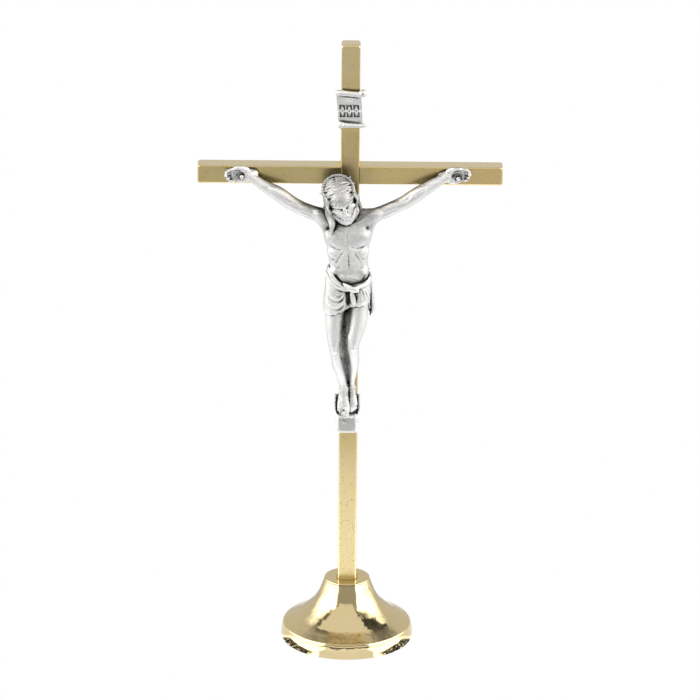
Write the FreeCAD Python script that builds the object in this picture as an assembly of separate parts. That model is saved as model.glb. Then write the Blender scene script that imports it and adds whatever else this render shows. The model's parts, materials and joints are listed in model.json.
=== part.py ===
import FreeCAD, Part
import math
import os

# Standing altar cross, 216 mm tall.
#
# A square-bar cross with a half-lapped crossing stands in a square socket in a
# bell-shaped foot and is drawn down by one M4 screw through an iron ballast.
# A cast figure hangs on three nails, its feet on a sloping foot rest, with a
# scroll-shaped title plate pinned above it.
#
# Frame: origin at the centre of the foot's resting plane, +Z up, the crossbar
# along X. The figure faces -Y, so front is -Y; left is -X, as seen from the
# front. Units are millimetres.

Vector = FreeCAD.Vector
AXIS_X, AXIS_Y, AXIS_Z = Vector(1, 0, 0), Vector(0, 1, 0), Vector(0, 0, 1)
ORIGIN = Vector(0, 0, 0)
OVERRUN = 1.0             # cutters reach this far past the surface they open

# Square bars
HEIGHT = 216.0            # resting plane to top of upright
BAR = 6.35                # width of the square bar
HALF = BAR / 2
FRONT = -HALF             # y of the bars' front face
ARM_SPAN = 103.0          # length of crossbar
CROSS_Z = 170.0           # height of crossbar centre line
EDGE_R = 0.55             # softened long edges
END_R = 0.80              # rounded bar ends
LAP_GAP = 0.02            # clearance each side of the half lap

# Foot, ballast and felt
FOOT_R = 45.5 / 2
FOOT_H = 22.0             # resting plane to top plate
FOOT_TOP_R = 7.35         # flat top plate
RIM_TOP = 4.3             # height of rim band
RIM_BORE_R = 20.9         # inside of rim band
FOOT_LIFT = 0.1           # rim stands this far above the resting plane
SOCKET_Z = FOOT_H - 2.5   # floor of the square socket
SOCKET_GAP = 0.05         # clearance each side of the upright
BOSS_Z = 15.5             # underside of the boss inside the foot
BALLAST_R = 20.4
BORE_R = 4.8              # counterbore in the ballast
SEAT_Z = 7.6              # ceiling of the counterbore, where the washer seats
FELT_T = 2.0
FELT_R = 20.6

# M4 screw, its washers and its tapped hole
SCREW_R = 2.0
SCREW_LEN = 25.0
SCREW_TIP = 0.6           # length of the tapered end
HEAD_R = 3.5
HEAD_H = 2.6
CLEAR_R = 2.25            # clearance hole
TAP_R = 2.02              # tapped hole taken at the thread's outside radius
TAP_START = 18.0          # cutter starts below the upright's end
TAP_TOP = 33.0
TAP_CONE = 1.1            # drill point above the tapped hole
WASHER_T = 0.8
SPRING_T = 0.9
WASHER_Z = SEAT_Z - WASHER_T      # underside of plain washer
SPRING_Z = WASHER_Z - SPRING_T    # underside of spring washer
HEAD_Z = SPRING_Z - HEAD_H        # underside of screw head

# Nails and pins; places are (x, z)
NAIL_R = 0.55
NAIL_HEAD_R = 0.80
NAIL_HEAD_H = 0.55
PIN_GAP = 0.05            # radial clearance round a shank
NAIL_HOLE_R = NAIL_R + PIN_GAP
REST_PIN_R = 0.45
REST_HOLE_R = REST_PIN_R + PIN_GAP
HAND_X = 36.5             # nails through the palms
HAND_Z = CROSS_Z
FOOT_NAIL = (-0.55, 88.6)
REST_PIN = (-1.5, 82.7)
TITLE_PIN = (0.0, 197.4)

# Foot rest
REST_X = -0.4             # stands a little to the left
REST_W_TOP = 4.25         # half width at the upper end of the taper
REST_W_BOT = 3.5          # half width at the lower end of the taper
REST_TOP_Z = 91.0
REST_TOP_Y = -4.1         # front edge of the level top, where the slope starts
REST_LIP_Z = 85.0         # front edge of the slope
REST_BOT_Z = 78.8
REST_FRONT = -9.0

# Title plate
TITLE_X = 0.55
TITLE_Z = 194.2           # centre height
TITLE_W = 9.6
TITLE_H = 10.6
TITLE_T = 0.85
TITLE_FRONT = FRONT - TITLE_T


# ------------------------------------------------------------------ helpers
def export(name, shape):
    if shape.ShapeType == "Compound" and len(shape.Solids) == 1:
        shape = shape.Solids[0]
    assert shape.isValid() and shape.Solids, name
    shape.exportStep("parts/%s.step" % name)


def box(size, corner):
    return Part.makeBox(*size, Vector(*corner))


def disc(radius, height, z):
    """Upright cylinder on the Z axis, standing on height z."""
    return Part.makeCylinder(radius, height, Vector(0, 0, z), AXIS_Z)


def ring(outer_r, inner_r, height, z):
    return disc(outer_r, height, z).cut(disc(inner_r, height, z))


def drill(shape, radius, place, y_start, length):
    """Cut a hole along +Y at place (x, z)."""
    x, z = place
    return shape.cut(Part.makeCylinder(radius, length, Vector(x, y_start, z), AXIS_Y))


def fillet(shape, radius, test):
    """Round the edges that pass the test; with none, the shape is left as it is."""
    edges = [edge for edge in shape.Edges if test(edge)]
    return shape.makeFillet(radius, edges) if edges else shape


def is_line(edge, axis):
    """True for an edge whose ends lie along the axis."""
    if len(edge.Vertexes) != 2:
        return False
    span = edge.Vertexes[1].Point - edge.Vertexes[0].Point
    return span.Length > 1e-6 and abs(span.normalize().dot(axis)) > 0.999


def polygon_face(points):
    return Part.Face(Part.makePolygon(points + points[:1]))


def smooth_curve(points, closed=False):
    curve = Part.BSplineCurve()
    curve.interpolate(points, PeriodicFlag=closed)
    return curve.toShape()


def revolve(profile):
    """Solid of revolution about Z from (r, z) points; a list inside is a smooth curve."""
    edges, first, last = [], None, None
    for item in profile:
        curved = isinstance(item, list)
        points = [Vector(r, 0, z) for r, z in (item if curved else [item])]
        if last is None:
            first = points[0]
        elif (last - points[0]).Length > 1e-6:
            edges.append(Part.makeLine(last, points[0]))
        if curved:
            edges.append(smooth_curve(points))
        last = points[-1]
    if (last - first).Length > 1e-6:
        edges.append(Part.makeLine(last, first))
    wire = Part.Wire(Part.__sortEdges__(edges))
    return Part.Face(wire).revolve(ORIGIN, AXIS_Z, 360)


# -------------------------------------------------------------- square bars
def make_upright():
    bar = box((BAR, BAR, HEIGHT - SOCKET_Z), (-HALF, -HALF, SOCKET_Z))
    bar = fillet(bar, EDGE_R, lambda e: is_line(e, AXIS_Z))
    bar = fillet(bar, END_R, lambda e: all(abs(v.Point.z - HEIGHT) < 1e-4 for v in e.Vertexes))
    # The lap takes the back half of the upright.
    bar = bar.cut(box((BAR + 2 * OVERRUN, HALF + OVERRUN, BAR + 2 * LAP_GAP),
                      (-HALF - OVERRUN, 0, CROSS_Z - HALF - LAP_GAP)))
    bar = bar.cut(disc(TAP_R, TAP_TOP - TAP_START, TAP_START))
    bar = bar.cut(Part.makeCone(TAP_R, 0.0, TAP_CONE, Vector(0, 0, TAP_TOP), AXIS_Z))
    for place, depth, radius in ((TITLE_PIN, 2.6, NAIL_HOLE_R), (REST_PIN, 2.8, REST_HOLE_R),
                                 (FOOT_NAIL, 2.8, NAIL_HOLE_R)):
        bar = drill(bar, radius, place, FRONT - OVERRUN, depth + OVERRUN)
    return bar


def make_crossbar():
    nail_depth = 3.1
    end_x = ARM_SPAN / 2
    bar = box((ARM_SPAN, BAR, BAR), (-end_x, -HALF, CROSS_Z - HALF))
    bar = fillet(bar, EDGE_R, lambda e: is_line(e, AXIS_X))
    bar = fillet(bar, END_R,
                 lambda e: all(abs(abs(v.Point.x) - end_x) < 1e-4 for v in e.Vertexes))
    # The lap takes the front half of the crossbar.
    bar = bar.cut(box((BAR + 2 * LAP_GAP, HALF + OVERRUN, BAR + 2 * OVERRUN),
                      (-HALF - LAP_GAP, -HALF - OVERRUN, CROSS_Z - HALF - OVERRUN)))
    for side in (-1, 1):
        bar = drill(bar, NAIL_HOLE_R, (side * HAND_X, HAND_Z),
                    FRONT - OVERRUN, nail_depth + OVERRUN)
    return bar


# --------------------------------------------------- foot, ballast and felt
# Foot outline as (r, z), from the top plate down and outwards
SHOULDER = [(FOOT_TOP_R, FOOT_H), (7.6, 21.95), (7.78, 21.8), (7.85, 21.55)]
BELL = [(7.85, 21.55), (8.2, 20.4), (8.95, 18.4), (9.95, 16.0), (11.5, 13.5), (13.3, 11.5),
        (14.95, 10.0), (17.0, 8.38), (19.0, 7.13), (20.8, 6.05), (21.8, 5.45)]
RIM = [(21.8, 5.45), (22.12, 5.12), (22.34, RIM_TOP + 0.3), (22.46, 3.95), (22.58, 3.2),
       (FOOT_R - 0.06, 2.3), (FOOT_R, 1.4), (FOOT_R - 0.03, 0.5)]
# Hollow of the foot as (r, z), from the rim's inside up to the boss
HOLLOW = [(RIM_BORE_R, 3.9), (19.2, 5.1), (17.6, 6.05), (15.6, 7.3), (13.6, 8.7),
          (11.6, 10.3), (9.7, 12.3), (8.4, 14.0), (7.6, BOSS_Z)]
# Ballast's outer side as (r, z), from the boss down; straight between points
BALLAST_SIDE = [(7.2, BOSS_Z), (8.0, 13.9), (9.2, 12.2), (11.1, 10.1), (13.1, 8.45),
                (15.1, 7.05), (17.1, 5.75), (18.8, 4.75), (BALLAST_R, 3.5)]


def make_bell_foot():
    foot = revolve([(0, FOOT_H), SHOULDER, BELL, RIM, (FOOT_R - 0.2, FOOT_LIFT),
                    (RIM_BORE_R, FOOT_LIFT), HOLLOW, (0, BOSS_Z)])
    socket_w = BAR + 2 * SOCKET_GAP
    foot = foot.cut(box((socket_w, socket_w, FOOT_H - SOCKET_Z + OVERRUN),
                        (-HALF - SOCKET_GAP, -HALF - SOCKET_GAP, SOCKET_Z)))
    return foot.cut(disc(CLEAR_R, 10, BOSS_Z - OVERRUN))


def make_ballast():
    return revolve([(CLEAR_R, BOSS_Z)] + BALLAST_SIDE
                   + [(BALLAST_R, FELT_T), (BORE_R, FELT_T), (BORE_R, SEAT_Z), (CLEAR_R, SEAT_Z)])


def make_felt_pad():
    return fillet(disc(FELT_R, FELT_T, 0), 0.4,
                  lambda e: abs(e.BoundBox.ZMax) < 1e-6
                  and abs(e.BoundBox.XLength - 2 * FELT_R) < 0.1)


# ------------------------------------------------------- screw and washers
def make_spring_washer():
    """Ring with a slanting slit on its +X side."""
    slit = box((3, 0.5, 4), (1.5, -0.25, -2))
    slit.rotate(ORIGIN, AXIS_X, 20)
    slit.translate(Vector(0, 0, SPRING_Z + SPRING_T / 2))
    return ring(3.8, 2.1, SPRING_T, SPRING_Z).cut(slit)


def make_foot_screw():
    slot_w, slot_depth = 1.0, 1.1
    head = disc(HEAD_R, HEAD_H, HEAD_Z)
    head = fillet(head, 0.5, lambda e: abs(e.BoundBox.ZMax - HEAD_Z) < 1e-6
                  and e.BoundBox.XLength > 2 * HEAD_R - 0.1)
    head = head.cut(box((8, slot_w, slot_depth), (-4, -slot_w / 2, HEAD_Z)))
    straight = SCREW_LEN - SCREW_TIP
    tip = Part.makeCone(SCREW_R, 1.5, SCREW_TIP, Vector(0, 0, SPRING_Z + straight), AXIS_Z)
    shank = disc(SCREW_R, straight, SPRING_Z).fuse(tip)
    return head.fuse(shank).removeSplitter()


# --------------------------------------------------------------- foot rest
def rest_profile():
    """Side view of the foot rest, a face in the plane x = 0."""
    outline = [(FRONT, REST_TOP_Z), (REST_TOP_Y, REST_TOP_Z), (REST_FRONT, REST_LIP_Z),
               (REST_FRONT + 0.25, REST_BOT_Z), (FRONT, REST_BOT_Z)]
    return polygon_face([Vector(0, y, z) for y, z in outline])


def make_foot_rest():
    rest = rest_profile().extrude(Vector(2 * REST_W_TOP, 0, 0))
    rest.translate(Vector(REST_X - REST_W_TOP, 0, 0))

    # Sides taper towards the bottom.
    high, low = REST_TOP_Z + OVERRUN, REST_BOT_Z - OVERRUN
    for side in (-1, 1):
        corners = ((REST_W_TOP, high), (REST_W_BOT, low), (9, low), (9, high))
        wedge = polygon_face([Vector(REST_X + side * x, -12, z) for x, z in corners])
        rest = rest.cut(wedge.extrude(Vector(0, 14, 0)))

    # Shallow tray sunk in the sloping top, inside a thin rim
    rim, depth = 0.65, 0.7
    slope = math.atan2(REST_TOP_Z - REST_LIP_Z, REST_TOP_Y - REST_FRONT)
    half_w = REST_W_TOP - rim
    tray = box((2 * half_w, 6.6, 2.0), (REST_X - half_w, 0, -depth))
    tray.rotate(ORIGIN, AXIS_X, math.degrees(slope))
    uphill = Vector(0, math.cos(slope), math.sin(slope))
    tray.translate(Vector(0, REST_FRONT, REST_LIP_Z) + uphill * rim)
    rest = rest.cut(tray)

    for place, radius in ((REST_PIN, REST_HOLE_R), (FOOT_NAIL, NAIL_HOLE_R)):
        rest = drill(rest, radius, place, -14, 14)
    return rest


# ------------------------------------------------------------- title plate
def make_title_plate():
    left_x = TITLE_X - TITLE_W / 2
    leaf = box((TITLE_W, TITLE_T, TITLE_H), (left_x, TITLE_FRONT, TITLE_Z - TITLE_H / 2))
    leaf = fillet(leaf, 0.25, lambda e: is_line(e, AXIS_Z))

    # Tapered rolls along the top and bottom: side, left radius, right radius, left overhang
    rolls = []
    for side, left_r, right_r, overhang in ((1, 0.85, 1.15, 0.4), (-1, 1.15, 0.85, 0.3)):
        start = Vector(left_x - overhang, FRONT - 1.16, TITLE_Z + side * (TITLE_H / 2 + 0.15))
        rolls.append(Part.makeCone(left_r, right_r, TITLE_W + 0.9, start, AXIS_X))
    title = leaf.fuse(rolls)

    # Raised lozenges across the leaf
    pitch, half_w, half_h, relief = 2.5, 0.85, 1.7, 0.3
    for i in (-1, 0, 1):
        centre = Vector(TITLE_X + i * pitch, TITLE_FRONT, TITLE_Z - 0.9)
        corners = ((-half_w, 0), (0, half_h), (half_w, 0), (0, -half_h))
        lozenge = polygon_face([centre + Vector(x, 0, z) for x, z in corners])
        title = title.fuse(lozenge.extrude(Vector(0, -relief, 0)))
    return drill(title.removeSplitter(), NAIL_HOLE_R, TITLE_PIN, -6, 5)


# ------------------------------------------------------------------ figure
# Stations of each body part: x, y, z of the centre, half width across, half
# width front to back, and optionally the section's power (2 is an ellipse,
# more is squarer).
TORSO = [(-0.4, -8.6, 157.6, 4.6, 3.1), (-0.5, -8.9, 154.8, 7.6, 3.9),
         (-0.6, -9.1, 151.5, 7.9, 4.4, 2.2), (-0.55, -9.1, 147.8, 7.4, 4.4, 2.2),
         (-0.4, -8.9, 143.5, 6.9, 4.0, 2.2), (-0.2, -8.7, 139.0, 6.55, 3.7, 2.2),
         (-0.2, -8.5, 134.0, 6.9, 3.9, 2.2), (-0.5, -8.4, 129.0, 7.1, 4.1, 2.3)]
CLOTH = [(-0.2, -8.6, 137.4, 6.9, 4.15, 2.3), (-0.5, -8.7, 133.5, 7.4, 4.5, 2.3),
         (-0.9, -9.0, 128.0, 7.7, 4.7, 2.4), (-1.1, -9.3, 122.6, 7.7, 4.6, 2.4)]
CLOTH_TAIL = [(6.4, -7.4, 134.5, 0.9, 1.3), (7.1, -7.2, 130.0, 1.0, 1.5),
              (7.4, -7.0, 125.5, 1.1, 1.6), (7.6, -6.9, 121.6, 1.0, 1.3)]
LEFT_LEG = [(-4.7, -8.6, 128.0, 3.3, 3.6), (-5.0, -10.2, 121.0, 3.0, 3.2),
            (-5.0, -12.0, 114.0, 2.5, 2.6), (-4.7, -12.9, 110.3, 2.15, 2.2),
            (-4.1, -12.0, 106.4, 2.0, 2.1), (-3.3, -10.3, 101.8, 1.95, 2.2),
            (-2.3, -8.5, 97.0, 1.45, 1.55), (-1.9, -7.6, 94.2, 1.3, 1.45)]
RIGHT_LEG = [(3.6, -8.6, 128.0, 3.2, 3.5), (3.2, -10.6, 121.5, 2.95, 3.1),
             (2.2, -12.6, 115.6, 2.5, 2.6), (1.6, -13.3, 112.3, 2.15, 2.2),
             (1.7, -12.2, 108.0, 2.0, 2.1), (2.0, -10.3, 103.0, 1.95, 2.2),
             (1.8, -8.4, 98.0, 1.45, 1.55), (1.5, -7.3, 94.6, 1.25, 1.4)]
LEFT_FOOT = [(-2.0, -7.9, 95.4, 1.3, 1.4), (-1.9, -8.4, 92.6, 1.55, 1.5),
             (-1.7, -9.4, 89.6, 1.85, 1.25), (-1.5, -10.2, 87.2, 1.8, 0.9),
             (-1.4, -10.6, 86.0, 1.35, 0.6)]
RIGHT_FOOT = [(1.4, -7.2, 95.6, 1.2, 1.3), (1.35, -7.4, 92.8, 1.35, 1.2),
              (1.5, -8.1, 90.2, 1.5, 1.0), (1.7, -8.9, 88.0, 1.45, 0.75),
              (1.75, -9.3, 87.0, 1.1, 0.5)]
NECK = [(-0.4, -8.4, 155.0, 2.9, 2.6), (-0.9, -9.2, 159.0, 2.3, 2.3),
        (-1.9, -10.2, 162.5, 2.4, 2.4)]
SKULL = [(-1.2, -13.6, 157.2, 1.4, 1.5), (-1.7, -13.1, 159.6, 3.2, 3.6),
         (-2.5, -12.4, 162.6, 4.9, 5.4), (-3.1, -12.1, 165.8, 5.4, 6.1),
         (-3.6, -11.7, 169.0, 5.1, 5.7), (-4.1, -11.3, 171.8, 3.6, 4.0),
         (-4.3, -11.1, 173.2, 1.5, 1.7)]
LEFT_LOCKS = [(-6.6, -9.6, 163.0, 1.8, 2.3), (-6.9, -9.9, 159.4, 2.0, 2.4),
              (-6.5, -10.9, 156.0, 1.8, 2.0), (-6.0, -11.9, 153.2, 1.1, 1.2)]
RIGHT_LOCKS = [(1.4, -8.8, 165.0, 1.7, 2.3), (2.4, -8.6, 161.2, 1.8, 2.3),
               (3.0, -8.7, 157.6, 1.6, 2.0)]

# Arm and hand stations: x away from the centre, y, height above SHOULDER_Z or
# HAND_Z, and the same two half widths
SHOULDER_Z = 156.2
ARM = [(5.6, -8.5, -1.2, 3.1, 3.2), (9.2, -8.1, 0, 2.75, 2.8), (13.2, -7.7, 1.9, 2.3, 2.25),
       (17.4, -7.5, 3.7, 2.2, 2.15), (21.2, -7.2, 5.8, 2.35, 2.2), (24.4, -6.8, 8.1, 2.35, 2.15),
       (28.4, -6.0, 10.9, 2.0, 1.75), (32.0, -5.2, 13.0, 1.75, 1.35), (33.2, -4.9, 13.7, 1.7, 1.2)]
HAND = [(31.9, -5.0, -0.5, 1.7, 1.2), (33.8, -4.7, -0.1, 2.6, 1.2), (36.4, -4.6, 0.1, 3.0, 1.2),
        (39.4, -4.7, 0.1, 2.85, 1.2), (41.8, -5.0, 0.1, 2.0, 1.1), (42.9, -5.2, 0.1, 0.9, 0.6)]


def section(centre, along, half_across, half_deep, power=2.0):
    """Closed smooth section normal to the limb's run, its depth turned to the front."""
    count = 16
    along = along.normalize()
    deep = Vector(0, -1, 0)
    deep = (deep - along * deep.dot(along)).normalize()
    across = along.cross(deep)

    def reach(half, ratio):
        return half * math.copysign(abs(ratio) ** (2 / power), ratio)

    points = []
    for k in range(count):
        angle = 2 * math.pi * k / count
        points.append(centre + across * reach(half_across, math.cos(angle))
                      + deep * reach(half_deep, math.sin(angle)))
    return Part.Wire(smooth_curve(points, closed=True))


def limb(stations):
    """Smooth tube through the stations."""
    centres = [Vector(*station[:3]) for station in stations]
    wires = []
    for i, station in enumerate(stations):
        along = centres[min(len(centres) - 1, i + 1)] - centres[max(0, i - 1)]
        wires.append(section(centres[i], along, *station[3:]))
    return Part.makeLoft(wires, True, False, False, 3)


def side_limb(side, base_z, stations):
    return limb([(side * x, y, base_z + rise, across, deep)
                 for x, y, rise, across, deep in stations])


def make_figure():
    pieces = [limb(stations) for stations in (
        CLOTH, CLOTH_TAIL, LEFT_LEG, RIGHT_LEG, LEFT_FOOT, RIGHT_FOOT,
        NECK, SKULL, LEFT_LOCKS, RIGHT_LOCKS)]
    for side in (-1, 1):
        pieces += [side_limb(side, SHOULDER_Z, ARM), side_limb(side, HAND_Z, HAND)]
    figure = limb(TORSO).fuse(pieces)
    # Backs of the hands lie flat on the bar.
    figure = figure.cut(box((140, 20, 200), (-70, FRONT - 0.04, 30)))
    # Soles clear the foot rest.
    rest_block = rest_profile().extrude(Vector(20, 0, 0))
    figure = figure.cut(rest_block.translated(Vector(-10, -0.03, 0.05)))
    for side in (-1, 1):
        figure = drill(figure, NAIL_HOLE_R, (side * HAND_X, HAND_Z), -14, 14)
    figure = drill(figure, NAIL_HOLE_R, FOOT_NAIL, -20, 20)
    return max(figure.Solids, key=lambda solid: solid.Volume)


# ------------------------------------------------------------ nails and pins
def dome_pin(place, y_head, y_tip, head_r=NAIL_HEAD_R, head_h=NAIL_HEAD_H, shank_r=NAIL_R):
    """Pin along +Y: a domed head whose underside is at y_head, shank to y_tip."""
    point_len, overlap = 0.35, 0.05
    x, z = place
    shank = Part.makeCylinder(shank_r, y_tip - point_len - y_head + overlap,
                              Vector(x, y_head - overlap, z), AXIS_Y)
    point = Part.makeCone(shank_r, shank_r * 0.35, point_len,
                          Vector(x, y_tip - point_len, z), AXIS_Y)
    ball_r = (head_r ** 2 + head_h ** 2) / (2 * head_h)
    ball = Part.makeSphere(ball_r, Vector(x, y_head - head_h + ball_r, z))
    behind = box((4 * ball_r,) * 3, (x - 2 * ball_r, y_head, z - 2 * ball_r))
    return ball.cut(behind).fuse([shank, point]).removeSplitter()


# ------------------------------------------------------------------- export
os.makedirs("parts", exist_ok=True)
export("upright_bar", make_upright())
export("crossbar", make_crossbar())
export("bell_foot", make_bell_foot())
export("ballast_weight", make_ballast())
export("felt_pad", make_felt_pad())
export("plain_washer", ring(4.5, 2.15, WASHER_T, WASHER_Z))
export("spring_washer", make_spring_washer())
export("foot_screw", make_foot_screw())
export("foot_rest", make_foot_rest())
export("title_plate", make_title_plate())
export("figure", make_figure())
for name, side in (("left", -1), ("right", 1)):
    export("hand_nail_" + name, dome_pin((side * HAND_X, HAND_Z), -5.75, -0.35))
export("foot_nail", dome_pin(FOOT_NAIL, -10.9, -0.7))
export("foot_rest_pin", dome_pin(REST_PIN, REST_FRONT + 0.05, -0.7, 0.65, 0.35, REST_PIN_R))
export("title_pin", dome_pin(TITLE_PIN, TITLE_FRONT, -0.9, head_r=1.0, head_h=0.5))
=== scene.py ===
"""Standing altar cross: antique silver figure, foot rest and title scroll on a gilt square-bar cross.

Shapes are worked in millimetres in the frame of the CAD pieces: x runs to the right as seen from
the front, z runs up, and the front faces -y. The foot stands about the z axis, on z = 0.
"""
import bpy
import json
import math
import numpy as np
from itertools import product
from mathutils import Vector, Matrix

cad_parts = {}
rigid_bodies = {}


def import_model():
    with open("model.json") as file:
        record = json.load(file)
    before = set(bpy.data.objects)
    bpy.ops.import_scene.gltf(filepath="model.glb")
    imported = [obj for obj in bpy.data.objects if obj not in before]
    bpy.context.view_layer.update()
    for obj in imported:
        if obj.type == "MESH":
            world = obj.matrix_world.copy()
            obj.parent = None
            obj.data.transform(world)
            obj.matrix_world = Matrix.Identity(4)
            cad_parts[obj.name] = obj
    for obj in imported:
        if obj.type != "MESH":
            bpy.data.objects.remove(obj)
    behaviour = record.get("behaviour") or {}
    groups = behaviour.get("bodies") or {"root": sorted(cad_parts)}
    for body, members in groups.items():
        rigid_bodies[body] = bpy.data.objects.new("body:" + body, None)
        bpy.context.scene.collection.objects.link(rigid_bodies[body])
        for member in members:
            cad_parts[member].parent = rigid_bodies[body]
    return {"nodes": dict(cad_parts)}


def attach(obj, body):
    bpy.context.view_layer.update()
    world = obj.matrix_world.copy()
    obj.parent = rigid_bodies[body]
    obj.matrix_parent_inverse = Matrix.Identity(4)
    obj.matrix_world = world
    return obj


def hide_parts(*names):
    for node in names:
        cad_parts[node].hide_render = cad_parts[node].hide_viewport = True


for leftover in list(bpy.data.objects):
    bpy.data.objects.remove(leftover)
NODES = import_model()["nodes"]
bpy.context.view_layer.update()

MM = 0.001
F = np.float32

BAR = 6.35                      # side of the square bars
BAR_FRONT = -3.18               # y of the backs of the castings, on the front of the bars
HAND_NAIL_X, HAND_NAIL_Z = 36.5, 170.0
FOOT_NAIL_X, FOOT_NAIL_Z = -0.55, 88.6
NAIL_HOLE = 0.6                 # radius
FAR = 1.5                       # signed distances are held between -FAR and FAR


# ============================================================================
# Tables written as text
# ============================================================================
def numbers(text):
    return [float(word) for word in text.split()]


def rows(text, side=1):
    """Rows of numbers with commas between them; side -1 mirrors x, the first column."""
    return [[side * row[0], *row[1:]] for row in map(numbers, text.split(","))]


def entries(text, side=1):
    """Pairs of settings and rows, from text such as 'settings: row, row; settings: row, row'."""
    pairs = (entry.split(":") for entry in text.split(";"))
    return [(numbers(settings), rows(table, side)) for settings, table in pairs]


# ============================================================================
# A small sculpting kit: signed distances in millimetres, joined smoothly, then skinned.
# X, Y, Z are float32 arrays of sample points; (ball, reach) is a ball that holds them all,
# and a form out of its reach gives None.
# ============================================================================
def smin(a, b, ease):
    h = np.maximum(ease - np.abs(a - b), 0) / ease
    return np.minimum(a, b) - h * h * (ease * 0.25)


def smax(a, b, ease):
    return -smin(-a, -b, ease)


def unit(v):
    v = np.asarray(v, float)
    return v / np.linalg.norm(v)


def catmull(points, sub):
    """Smooth curve through stations of any width, with sub steps from each to the next."""
    p = np.asarray(points, float)
    if len(p) < 3:
        return p
    out = []
    for i in range(len(p) - 1):
        a, b, c, d = p[max(i - 1, 0)], p[i], p[i + 1], p[min(i + 2, len(p) - 1)]
        for j in range(sub):
            t = j / sub
            out.append(0.5 * ((2 * b) + (c - a) * t + (2 * a - 5 * b + 4 * c - d) * t * t
                              + (3 * b - a - 3 * c + d) * t ** 3))
    out.append(p[-1])
    return np.array(out)


def to_segment(coordinates, start, span, length2):
    """Squared distance to a segment, and how far along it the nearest point lies (0 to 1)."""
    offset = [c - F(s) for c, s in zip(coordinates, start)]
    t = np.clip(sum(o * F(s) for o, s in zip(offset, span)) * F(1 / length2), 0, 1)
    return sum((o - t * F(s)) ** 2 for o, s in zip(offset, span)), t


def turned(degrees=0.0):
    """Local axes turned in the front plane: a positive angle raises the +x end of the first."""
    a = math.radians(degrees)
    return [[math.cos(a), 0, math.sin(a)], [0, 1, 0], [-math.sin(a), 0, math.cos(a)]]


def tilted(lean=0.0, pitch=0.0):
    """Local axes of an upright form, its top leaned to +x and pitched to +y, in degrees."""
    a, p = math.radians(lean), math.radians(pitch)
    up = unit([math.sin(a), math.sin(p), math.cos(a) * math.cos(p)])
    right = unit(np.cross([0, 1, 0], up))
    return [list(right), list(np.cross(up, right)), list(up)]


class Form:
    """One operation, add, cut or shift, with a bounding ball of its own."""

    def __init__(self, kind, centre, radius, blend, field):
        self.kind, self.blend, self.field = kind, blend, field
        self.centre, self.radius = np.asarray(centre, float), float(radius) + blend

    def apply(self, d, X, Y, Z, ball, reach):
        if d is None and self.kind != "add":
            return None
        v = self.field(X, Y, Z, ball, reach)
        if v is None or d is None:
            return d if v is None else v
        if self.kind == "add":
            return smin(d, v, self.blend)
        return smax(d, -v, self.blend) if self.kind == "cut" else d + v


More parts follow.
